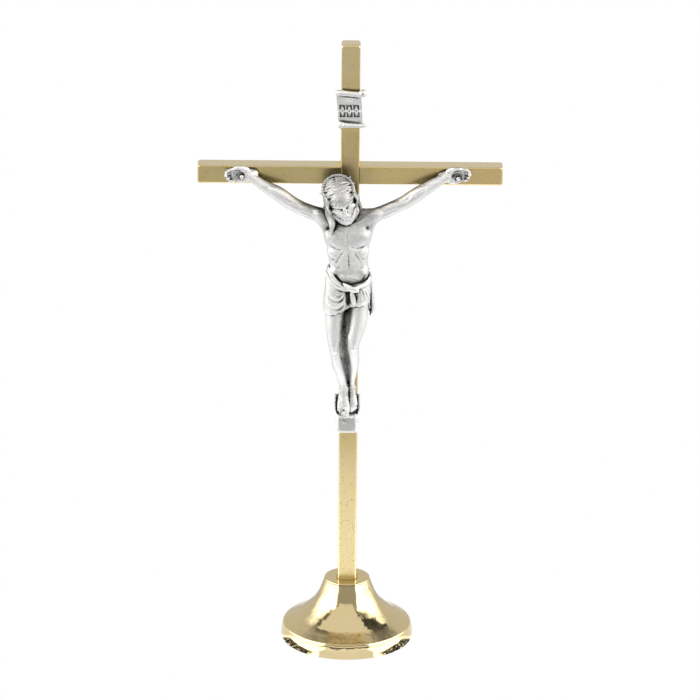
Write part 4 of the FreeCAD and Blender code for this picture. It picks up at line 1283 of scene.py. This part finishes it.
class Graph:
    def __init__(self, tree):
        self.tree, self.count = tree, 0
        tree.nodes.clear()

    def node(self, kind, inputs=None, **props):
        nd = self.tree.nodes.new(kind)
        nd.location = (self.count % 12 * 190, -(self.count // 12) * 260)
        self.count += 1
        for k, v in props.items():
            setattr(nd, k, v)
        for k, v in (inputs or {}).items():
            self.put(nd.inputs[k], v)
        return nd

    def put(self, socket, v):
        if isinstance(v, Val):
            self.tree.links.new(v.socket, socket)
        elif isinstance(v, tuple) and len(v) == 3 and len(socket.default_value) == 4:
            socket.default_value = (*v, 1.0)
        else:
            socket.default_value = v

    def val(self, nd, out=0):
        return Val(self, nd.outputs[out])

    def output(self, shader, kind="ShaderNodeOutputMaterial"):
        self.tree.links.new(shader.outputs[0], self.node(kind).inputs[0])

    def math(self, op, *values, clamp=False):
        return self.val(self.node("ShaderNodeMath", dict(enumerate(values)), operation=op,
                                  use_clamp=clamp))

    def clamp(self, v):
        return self.math("ADD", v, 0.0, clamp=True)

    def step(self, v, zero, one):
        """0 up to zero, 1 from one on, smooth between; zero may be the larger."""
        if one < zero:
            return 1.0 - self.step(v, one, zero)
        return self.val(self.node("ShaderNodeMapRange", {
            "Value": v, "From Min": zero, "From Max": one, "To Min": 0.0, "To Max": 1.0},
            interpolation_type="SMOOTHSTEP"))

    def band(self, v, a, b, c, d):
        """1 between b and c, 0 below a and above d."""
        return self.step(v, a, b) * self.step(v, d, c)

    def place(self):
        """Object position in millimetres."""
        return self.scale(self.val(self.node("ShaderNodeTexCoord"), "Object"), (1000.0,) * 3)

    def scale(self, v, factors):
        return self.val(self.node("ShaderNodeVectorMath", {0: v, 1: factors},
                                  operation="MULTIPLY"))

    def split(self, v):
        nd = self.node("ShaderNodeSeparateXYZ", {0: v})
        return self.val(nd, 0), self.val(nd, 1), self.val(nd, 2)

    def normal(self):
        return self.split(self.val(self.node("ShaderNodeNewGeometry"), "Normal"))

    def noise(self, v, scale, detail=3.0, rough=0.55):
        return self.val(self.node("ShaderNodeTexNoise", {
            "Vector": v, "Scale": scale, "Detail": detail, "Roughness": rough}), "Fac")

    def cells(self, v, scale):
        """Distance to the nearest cell point, and a random value for that cell."""
        nd = self.node("ShaderNodeTexVoronoi", {"Vector": v, "Scale": scale})
        chance = self.node("ShaderNodeSeparateColor", {0: self.val(nd, "Color")})
        return self.val(nd, "Distance"), self.val(chance, 0)

    def mixf(self, f, a, b):
        if isinstance(a, Val) or isinstance(b, Val):
            return a + (b - a) * f
        return self.math("MULTIPLY_ADD", f, b - a, a)

    def mixc(self, f, a, b):
        return self.val(self.node("ShaderNodeMix", {0: f, 6: a, 7: b}, data_type="RGBA"), 2)

    def bump(self, height, depth, **normal):
        """depth in metres for a height of 1."""
        return self.val(self.node("ShaderNodeBump", {
            "Height": height, "Distance": depth, "Strength": 1.0, **normal}))

    def occlusion(self, distance, samples=6):
        """1 in the open, 0 where closed in; distance in metres."""
        return self.val(self.node("ShaderNodeAmbientOcclusion", {"Distance": distance},
                                  samples=samples), "AO")

    def camera_ray(self):
        return self.val(self.node("ShaderNodeLightPath"), "Is Camera Ray")

    def off_front(self, x, y):
        """Degrees away from -y, the same on both sides."""
        return self.math("ARCTAN2", self.math("ABSOLUTE", x), -y) * 57.2958

    def principled(self, **inputs):
        self.output(self.node("ShaderNodeBsdfPrincipled",
                              {k.replace("_", " "): v for k, v in inputs.items()}))


def material(name):
    m = bpy.data.materials.new(name)
    m.use_nodes = True
    return m, Graph(m.node_tree)


def gilt_bar(name, along):
    """Satin gilt bar: drawn grain along its length and small pits."""
    m, g = material(name)
    P = g.place()
    x, y, z = g.split(P)
    cross = along == "x"

    def drawn(length, across):
        return g.scale(P, (length, across, across) if cross else (across, across, length))
    low = g.noise(drawn(0.35, 1.0), scale=0.3, detail=2.0)
    tint = g.noise(drawn(0.2, 0.9), scale=0.55)
    blot = g.noise(P, scale=0.7, detail=4.0, rough=0.6)
    grain = g.noise(drawn(0.12, 3.0), scale=1.6, detail=4.0, rough=0.6)
    # pits: size by distance, number by chance; the last kinds grow towards the foot
    near_foot = g.step(z, 78.0, 40.0)
    d1, chance1 = g.cells(P, scale=1.25)
    d2, chance2 = g.cells(g.scale(P, (1.0, 1.0, 0.8)), scale=2.6)
    rare = (0.80, 0.83) if cross else (0.84, 0.87)
    large = g.step(d1, 0.26, 0.10) * g.step(chance1, *rare)
    small = g.step(d2, 0.34, 0.14) * g.step(chance2, 0.90, 0.92) * g.mixf(near_foot, 0.45, 1.0)
    dense = (g.step(d2, 0.40, 0.2) * g.step(chance2, 0.55, 0.57) * near_foot
             * g.step(blot, 0.50, 0.58))
    pits = g.clamp(large * 0.8 + small + dense)
    base = g.mixc(g.clamp(low * 1.4 - 0.2), (0.80, 0.625, 0.285), (0.88, 0.715, 0.365))
    # rosy, olive and darker patches in the gilding
    base = g.mixc(g.step(tint, 0.54, 0.70) * 0.55, base, (0.84, 0.63, 0.40))
    base = g.mixc(g.step(tint, 0.46, 0.32) * 0.55, base, (0.74, 0.66, 0.22))
    base = g.mixc(g.step(blot, 0.52, 0.75) * 0.35, base, (0.66, 0.49, 0.20))
    normal_z = g.normal()[2]
    if cross:                                             # brighter towards +x
        base = g.mixc(g.step(x, 5.0, 12.0) * 0.65, base, (1.0, 0.77, 0.35))
    else:                                                 # paler at the ends
        base = g.mixc(g.step(z, 77.0, 60.0) * 0.85, base, (0.985, 0.81, 0.44))
        base = g.mixc(g.step(z, 196.0, 207.0) * 0.75, base, (0.96, 0.79, 0.44))
    # painted highlight: top faces made paler, for the light they mirror from above
    base = g.mixc(g.step(normal_z, 0.70, 0.92) * 0.8, base, (0.95, 0.84, 0.59))
    # painted shade where the castings sit close, reaching further behind the legs than round the
    # head; above the legs a painted glint, a bright border round it, for the castings mirrored in the
    # gilt
    behind = g.step(z, 158.0, 152.0)
    ao = g.occlusion(g.mixf(behind, 0.0023, 0.0036))
    painted_glint_near_castings = g.band(ao, 0.50, 0.68, 0.82, 0.96) * (1.0 - behind) * 0.7
    base = g.mixc(painted_glint_near_castings, base, (1.0, 0.80, 0.36))
    painted_shade_near_castings = g.step(ao, 0.70, 0.28) * g.mixf(behind, 0.55, 0.62)
    base = g.mixc(painted_shade_near_castings, base, (0.11, 0.075, 0.02))
    base = g.mixc(pits * 0.85, base, (0.13, 0.085, 0.035))
    g.principled(Base_Color=base, Metallic=1.0,
                 Roughness=0.20 + grain * 0.14 + blot * 0.08 + pits * 0.3,
                 Normal=g.bump(grain * 0.22 + blot * 0.15 - pits * 1.0, depth=0.000030))
    return m


def gilt_foot(name):
    """Mirror-polished gilt foot: faint waviness, hairlines round the axis, a few specks."""
    m, g = material(name)
    P = g.place()
    x, y, z = g.split(P)
    wave = g.noise(P, scale=0.16, detail=2.0)
    fine = g.noise(P, scale=3.5)
    angle = g.math("ARCTAN2", y, x)
    r = g.math("SQRT", x * x + y * y)
    # hairlines: fine across the profile, long round the axis
    turning = g.val(g.node("ShaderNodeCombineXYZ", {0: r * 7.0, 1: z * 7.0, 2: angle * 0.7}))
    ring = g.noise(turning, scale=1.0, detail=4.0, rough=0.6)
    d, chance = g.cells(P, scale=0.8)
    speck = g.step(d, 0.12, 0.05) * g.step(chance, 0.86, 0.88)
    base = g.mixc(wave, (0.83, 0.675, 0.37), (0.87, 0.715, 0.41))
    base = g.mixc(speck * 0.7, base, (0.2, 0.14, 0.06))
    # painted reflection: the front of the brim made darker, for the dark room in front that it
    # mirrors
    brim = g.band(z, 5.0, 5.5, 6.9, 8.6)
    front = brim * g.step(g.math("ABSOLUTE", x), 10.0, 4.0) * g.step(y, -8.0, -12.0)
    base = g.mixc(front * 0.85, base, (0.66, 0.48, 0.20))
    rough = 0.045 + fine * 0.03 + g.step(ring, 0.5, 0.8) * 0.05 + speck * 0.3 + brim * 0.15
    wavy = g.bump(wave, depth=0.00022)
    normal = g.bump(ring * 0.4 + fine * 0.4 - speck, depth=0.0000035, Normal=wavy)
    g.principled(Base_Color=base, Metallic=1.0, Roughness=rough, Normal=normal)
    return m


def figure_patina_and_shade(g, P, deep, edge, hollow, speck):
    """Adds what the figure's parts hold of patina, and painted shade on the arms and the upper chest;
    gives (deep, edge, hair mask).
    """
    # hair holds more patina than skin
    q = [c - float(v) for c, v in zip(g.split(P), HEAD_CENTRE)]
    forward, up = (q[0] * float(a[0]) + q[1] * float(a[1]) + q[2] * float(a[2])
                   for a in HEAD_AXES[1:])
    far = g.math("SQRT", q[0] * q[0] + q[1] * q[1] + q[2] * q[2])
    hair = g.step(far, 10.5, 9.0) * g.clamp(g.step(up, 1.4, 2.6) + g.step(forward, 2.6, 1.2))
    deep = deep + hair * (g.step(hollow, 0.50, 0.60) * 0.5 + 0.16)
    edge = edge * (1.0 - hair * 0.85)
    # thick patina in the palms and darker on the feet; painted shade along the upper and under sides
    # of the arms
    x, y, z = g.split(P)
    aside = g.math("ABSOLUTE", x)
    hx, hz = (aside - 37.5) * (1 / 2.9), (z - 170.0) * (1 / 2.0)
    palm = g.step(g.math("SQRT", hx * hx + hz * hz), 1.2, 0.65)
    nz = g.normal()[2]
    arms = (g.step(aside, 8.0, 11.0) * g.step(aside, 35.0, 32.5)
            * g.clamp(g.step(nz, 0.62, 0.93) * 0.36 + g.step(nz, -0.72, -0.95) * 0.5))
    deep = (deep + palm * (0.26 + speck * 0.3) + arms
            + g.step(z, 101.0, 94.0) * (0.17 + speck * 0.2))
    # painted shade on the upper chest, under the chin and hair; a little darker on the shins
    chest = g.step(z, 146.0, 154.0) * g.step(aside, 11.5, 8.0) * g.step(far, 8.6, 10.2)
    return deep + chest * 0.2 + g.step(z, 116.0, 104.0) * 0.04, edge, hair


def antique(name, cast=1.0, worn=0.0, hollows=True, rougher=0.0, tone=0.97, figure=False):
    """Antique silver over pewter: dark patina left in the hollows, painted shade where large parts
    close in and on the sides turned to the bars, raised parts rubbed bright.

    cast scales the cast grain, worn takes patina off, hollows reads the sculpt's attributes,
    rougher shifts the roughness and tone is the brightness of unrubbed metal.
    """
    m, g = material(name)
    P = g.place()
    blot = g.noise(P, scale=0.55, detail=4.0, rough=0.6)
    fine = g.noise(P, scale=1.7, detail=6.0, rough=0.75)
    brush = g.noise(g.scale(P, (2.2, 2.2, 0.7)), scale=1.6, detail=4.0, rough=0.65)
    speck = g.step(fine, 0.40, 0.66) - 0.5
    tight = g.occlusion(0.0016)
    wide = g.occlusion(0.012)
    if hollows:
        a0, a1, a2 = (g.val(g.node("ShaderNodeAttribute", attribute_name="hollow%d" % i), "Fac")
                      for i in range(3))
        deep = (g.step(a0, 0.53, 0.68) * 0.55 + g.step(a1, 0.535, 0.68) * 0.7
                + g.step(a2, 0.56, 0.74) * 0.6 + g.step(tight, 0.60, 0.20) * 0.5)
        edge = g.clamp(g.step(a0, 0.475, 0.36) * 0.6 + g.step(a1, 0.47, 0.32) * 0.6)
        if figure:
            deep, edge, hair = figure_patina_and_shade(g, P, deep, edge, a0, speck)
        deep = g.clamp(deep)
    else:
        deep = g.step(tight, 0.66, 0.2) * 0.9
        edge = g.clamp(blot * 0.6)
    # painted shade along the sides that turn to the bars
    normal_y = g.normal()[1]
    painted_side_shade = g.step(normal_y, -0.40, 0.10) * g.step(normal_y, 0.75, 0.35)
    # painted shade where large parts close in, as under the head and between the legs
    shade = g.step(wide, 0.93, 0.38)
    if figure:                                            # the shins are shaded less
        shade = shade * (1.0 - g.step(g.split(P)[2], 113.0, 105.0) * 0.28)
    # patina in the hollows, with the painted shade and painted side shade added in
    patina = g.clamp(deep + shade * 0.9 + painted_side_shade * 0.5 + (blot - 0.5) * 0.4 * (deep + shade + 0.2)
                     + speck * 0.3 * (deep + shade + 0.42) - worn)
    silver = g.mixc(edge, (tone, tone, tone * 0.994), (0.99, 0.99, 0.985))
    dull = g.clamp(g.step(brush, 0.48, 0.75) * 0.16 + g.step(fine, 0.52, 0.72) * 0.22) * cast
    silver = g.mixc(dull, silver, (0.50, 0.50, 0.49))
    if figure:
        silver = g.mixc(hair * 0.55, silver, (0.60, 0.60, 0.59))
    base = g.mixc(patina, silver, (0.028, 0.028, 0.027))
    rough = 0.46 + (fine - 0.5) * 0.2 * cast + patina * 0.2 - edge * 0.06 + rougher
    g.principled(Base_Color=base, Metallic=1.0, Roughness=rough,
                 Normal=g.bump(fine * 0.65 + brush * 0.35, depth=0.00026 * cast))
    return m


def iron(name):
    """Rough dark iron with rusty patches."""
    m, g = material(name)
    P = g.place()
    n = g.noise(P, scale=1.4, detail=5.0, rough=0.65)
    rust = g.noise(P, scale=0.35)
    base = g.mixc(g.step(rust, 0.52, 0.68), (0.06, 0.058, 0.055), (0.16, 0.075, 0.035))
    g.principled(Base_Color=base, Metallic=0.6, Roughness=0.62 + n * 0.25,
                 Normal=g.bump(n, depth=0.00012))
    return m


def zinc(name):
    """Zinc plating with a faint spangle."""
    m, g = material(name)
    P = g.place()
    n = g.noise(P, scale=2.5, detail=4.0)
    spangle = g.cells(P, scale=0.9)[1]
    base = g.mixc(spangle, (0.52, 0.54, 0.56), (0.68, 0.69, 0.70))
    g.principled(Base_Color=base, Metallic=1.0, Roughness=0.28 + n * 0.2,
                 Normal=g.bump(n, depth=0.00002))
    return m


def felt(name):
    """Green felt."""
    m, g = material(name)
    P = g.place()
    n = g.noise(P, scale=6.0, detail=6.0, rough=0.75)
    fibre = g.noise(g.scale(P, (1.0, 1.0, 4.0)), scale=2.0, detail=5.0, rough=0.7)
    base = g.mixc(n, (0.020, 0.060, 0.035), (0.060, 0.14, 0.085))
    g.principled(Base_Color=base, Roughness=0.97,
                 Normal=g.bump(n * 0.6 + fibre * 0.4, depth=0.00025))
    return m


def dress(ob, mat):
    ob.data.materials.clear()
    ob.data.materials.append(mat)


# ============================================================================
# Floor, studio and camera
# ============================================================================
def floor_material():
    """White sweep: plain to the camera, uneven in brightness to the metal that mirrors it; it glows,
    and that unevenness is painted light and shade.
    """
    m, g = material("floor_white")
    P = g.place()
    x, y, z = g.split(P)
    cam = g.camera_ray()
    ao = g.occlusion(0.006, samples=8)
    r = g.math("SQRT", x * x + y * y)
    seen = 1.0 - g.step(ao, 0.62, 0.1) * g.step(r, 60.0, 30.0) * 0.05     # painted contact shadow
    grain = g.noise(P, scale=0.4) * 0.02
    # painted shade: darker away to the front and the sides, and close in round the foot
    d = -y
    lit = (1.0 - g.step(d, 98.0, 190.0) * 0.42 - g.step(d, 220.0, 430.0) * 0.13
           + g.step(d, 470.0, 620.0) * 0.09)
    wide = g.step(g.math("ABSOLUTE", x), 150.0, 700.0) * 0.2
    lit = lit - wide - grain - g.step(r, 70.0, 45.0) * 0.13
    # painted pool of light beside the foot, as under the side lights
    turn = g.off_front(x, y)
    start = 25.6 + g.clamp((r - 23.6) * (1 / 8.5)) * 6.2
    beside = g.step(turn - start, -0.5, 1.1) * g.step(turn, 89.0, 80.0) * g.step(r, 120.0, 80.0)
    lit = g.mixf(beside, lit, 2.4)
    # painted dark patches close in, mirrored in the foot
    bits = g.step(g.noise(P, scale=0.55, detail=6.0, rough=0.8), 0.36, 0.47)
    edge = r - g.step(turn, 34.0, 78.0) * 7.0
    clutter = g.band(turn, 31.0, 38.0, 77.0, 87.0) * g.step(edge, 28.8, 27.0) * bits
    lit = g.mixf(clutter, lit, 0.04)
    # painted shade: darker behind the object
    lit = g.mixf(g.step(turn, 116.0, 142.0) * g.step(r, 38.0, 80.0), lit, 0.56)
    g.output(g.node("ShaderNodeEmission", {"Color": (1.0, 1.0, 1.0),
                                           "Strength": g.mixf(cam, lit, seen)}))
    return m


def build_floor(half=3000.0, n=24):
    line = np.linspace(-half, half, n)
    X, Y = np.meshgrid(line, line, indexing="ij")
    P = np.stack([X.ravel(), Y.ravel(), np.zeros(n * n)], 1)
    i, j = np.meshgrid(np.arange(n - 1), np.arange(n - 1), indexing="ij")
    a = (i * n + j).ravel()
    ob = to_object("floor", P, np.stack([a, a + n, a + n + 1, a + 1], 1))
    dress(ob, floor_material())


def overhead_panel(g, E, v, x, y, z):
    """Bright panel overhead with dark clutter round it, laid out on a plane at height 1."""
    height = g.math("MAXIMUM", z, 0.04)
    px, py = x / height, y / height
    speck = g.step(g.noise(v, scale=11.0, detail=6.0, rough=0.8), 0.42, 0.54)
    up = g.step(z, 0.3, 0.36)
    shifted = px + 0.10
    aside = g.math("ABSOLUTE", shifted)
    half_width = 0.56 + g.clamp(-py) * 0.14
    far_edge = 0.035 + g.math("MINIMUM", shifted * shifted, 0.16) * 1.25
    across = aside - half_width                          # below 0 inside the panel
    back = py - far_edge                                 # below 0 in front of its far edge
    panel = (g.step(across, 0.03, -0.03) * g.step(back, 0.03, -0.02)
             * g.step(py, -1.5, -1.3) * up)
    ring = g.step(across, 0.32, 0.14) * g.step(back, 0.20, 0.06) * g.step(py, -1.0, -0.7) * up
    behind = g.step(aside, 0.75, 0.45) * g.band(py, -0.02, 0.05, 0.30, 0.6) * up
    E = g.mixf(behind, E, 0.28)
    # a ragged, slanted oval of dark behind the panel on the +x side
    bx, by = px - 0.65, py - 0.28
    short, long = bx * 0.90 - by * 0.44, bx * 0.44 + by * 0.90
    ragged = (g.noise(v, scale=16.0, detail=5.0, rough=0.8) - 0.5) * 0.9
    oval = g.math("SQRT", short * short * 17.0 + long * long * 3.7)
    blob = g.step(oval + ragged, 1.12, 0.86) * up
    dark = g.clamp(ring * speck * 0.9 + blob * (0.80 + speck * 0.20))
    E = g.mixf(dark, E, 0.05)
    return g.mixf(panel, E, 0.80)


def build_world():
    """The room as the metal mirrors it; azimuth and elevation in degrees. White to the camera."""
    w = bpy.data.worlds.new("studio")
    bpy.context.scene.world = w
    w.use_nodes = True
    g = Graph(w.node_tree)
    v = g.val(g.node("ShaderNodeTexCoord"), "Generated")
    x, y, z = g.split(v)
    az = g.off_front(x, y)
    el = g.math("ARCSINE", z) * 57.2958
    front = (44.0, 38.0)                                 # azimuths where the front fades in
    # dim ceiling, then the room in front
    E = g.mixf(g.step(z, 0.55, 0.8), 0.62, 0.50)
    E = g.mixf(g.step(az, 46.0, 38.0) * g.step(el, 44.0, 34.0), E, 0.38)
    # side softboxes, dimmer low down
    boxes = g.band(az, 39.0, 45.0, 98.0, 134.0) * g.step(el, 54.0, 36.0)
    E = g.mixf(boxes, E, 2.1 + g.step(el, 4.0, 16.0))
    # pale wall above the table edge
    E = g.mixf(g.band(el, 5.0, 7.5, 9.5, 13.0) * g.step(az, *front), E, 1.1)
    E = overhead_panel(g, E, v, x, y, z)
    # dark line of the table edge
    E = g.mixf(g.band(el, -9.0, -5.0, 3.5, 6.0) * g.step(az, *front), E, 0.10)
    cam = g.camera_ray()
    E = g.mixf(cam, E, 1.0)
    colour = g.mixc(cam, (1.0, 0.985, 0.96), (1.0, 1.0, 1.0))
    g.output(g.node("ShaderNodeBackground", {"Color": colour, "Strength": E}),
             "ShaderNodeOutputWorld")
    w.cycles.sampling_method = "AUTOMATIC"


def build_camera():
    """Long lens in front of the cross, looking down on it."""
    target = Vector((0, 0, 0.10583))
    distance = 1.9397
    elevation, azimuth, roll = math.radians(20.805), math.radians(0.227), math.radians(0.445)
    cam = bpy.data.objects.new("camera", bpy.data.cameras.new("camera"))
    scene = bpy.context.scene
    scene.collection.objects.link(cam)
    scene.camera = cam
    back = Vector((math.sin(azimuth) * math.cos(elevation),
                   -math.cos(azimuth) * math.cos(elevation), math.sin(elevation)))
    cam.location = target + back * distance
    cam.rotation_mode = "QUATERNION"
    aim = (-back).to_track_quat("-Z", "Y")
    cam.rotation_quaternion = aim @ Matrix.Rotation(roll, 3, "Z").to_quaternion()
    cam.data.sensor_width = 36.0
    cam.data.lens = 291.795429
    cam.data.shift_x = 0.00177142857
    cam.data.clip_start, cam.data.clip_end = 0.05, 50.0


def build_light():
    """Soft light above and in front, kept out of reflections."""
    key = bpy.data.lights.new("overhead_softbox", "AREA")
    key.shape, key.size, key.size_y, key.energy = "RECTANGLE", 0.5, 0.5, 1.2
    ob = bpy.data.objects.new("overhead_softbox", key)
    bpy.context.scene.collection.objects.link(ob)
    ob.location = (0.0, -0.25, 0.9)
    ob.rotation_euler = (math.radians(-15), 0, 0)
    ob.visible_glossy = False


# ============================================================================
# Assembly
# ============================================================================
FIGURE_SILVER = antique("antique_silver_figure", tone=0.86, figure=True)
REST_SILVER = antique("antique_silver_rest", cast=1.5, rougher=0.06, tone=0.52)
TITLE_SILVER = antique("antique_silver_title", cast=0.8, worn=0.09)
DULL_SILVER = antique("antique_silver_dull", cast=0.8, hollows=False, rougher=0.04, tone=0.50)
PIN_SILVER = antique("antique_silver_pin", cast=0.5, worn=0.2, hollows=False, rougher=-0.08)
POST_GILT = gilt_bar("gilt_bar_upright", along="z")
ARM_GILT = gilt_bar("gilt_bar_cross", along="x")
FOOT_GILT = gilt_foot("gilt_foot_polished")
IRON = iron("cast_iron_rough")
ZINC = zinc("zinc_plated_steel")
FELT = felt("green_felt")

for node, mat in (
        ("upright_bar", POST_GILT), ("crossbar", ARM_GILT), ("bell_foot", FOOT_GILT),
        ("ballast_weight", IRON), ("felt_pad", FELT), ("plain_washer", ZINC),
        ("spring_washer", ZINC), ("foot_screw", ZINC), ("foot_rest", REST_SILVER),
        ("title_plate", TITLE_SILVER), ("figure", FIGURE_SILVER),
        ("hand_nail_left", PIN_SILVER), ("hand_nail_right", PIN_SILVER),
        ("foot_nail", PIN_SILVER), ("foot_rest_pin", DULL_SILVER), ("title_pin", PIN_SILVER)):
    dress(NODES[node], mat)

# detailed piece, the CAD piece it replaces, material, slot
for ob, node, mat, slot in (
        (build_figure(0.2), "figure", FIGURE_SILVER, "antique_silver"),
        (build_rest(0.11), "foot_rest", REST_SILVER, "antique_silver"),
        (build_title(0.1), "title_plate", TITLE_SILVER, "antique_silver"),
        (build_foot(), "bell_foot", FOOT_GILT, "gilt_foot")):
    dress(ob, mat)
    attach(ob, "root")
    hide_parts(node)

build_floor()
build_world()
build_camera()
build_light()
bpy.context.scene.view_settings.view_transform = "Standard"
bpy.context.scene.view_settings.look = "None"
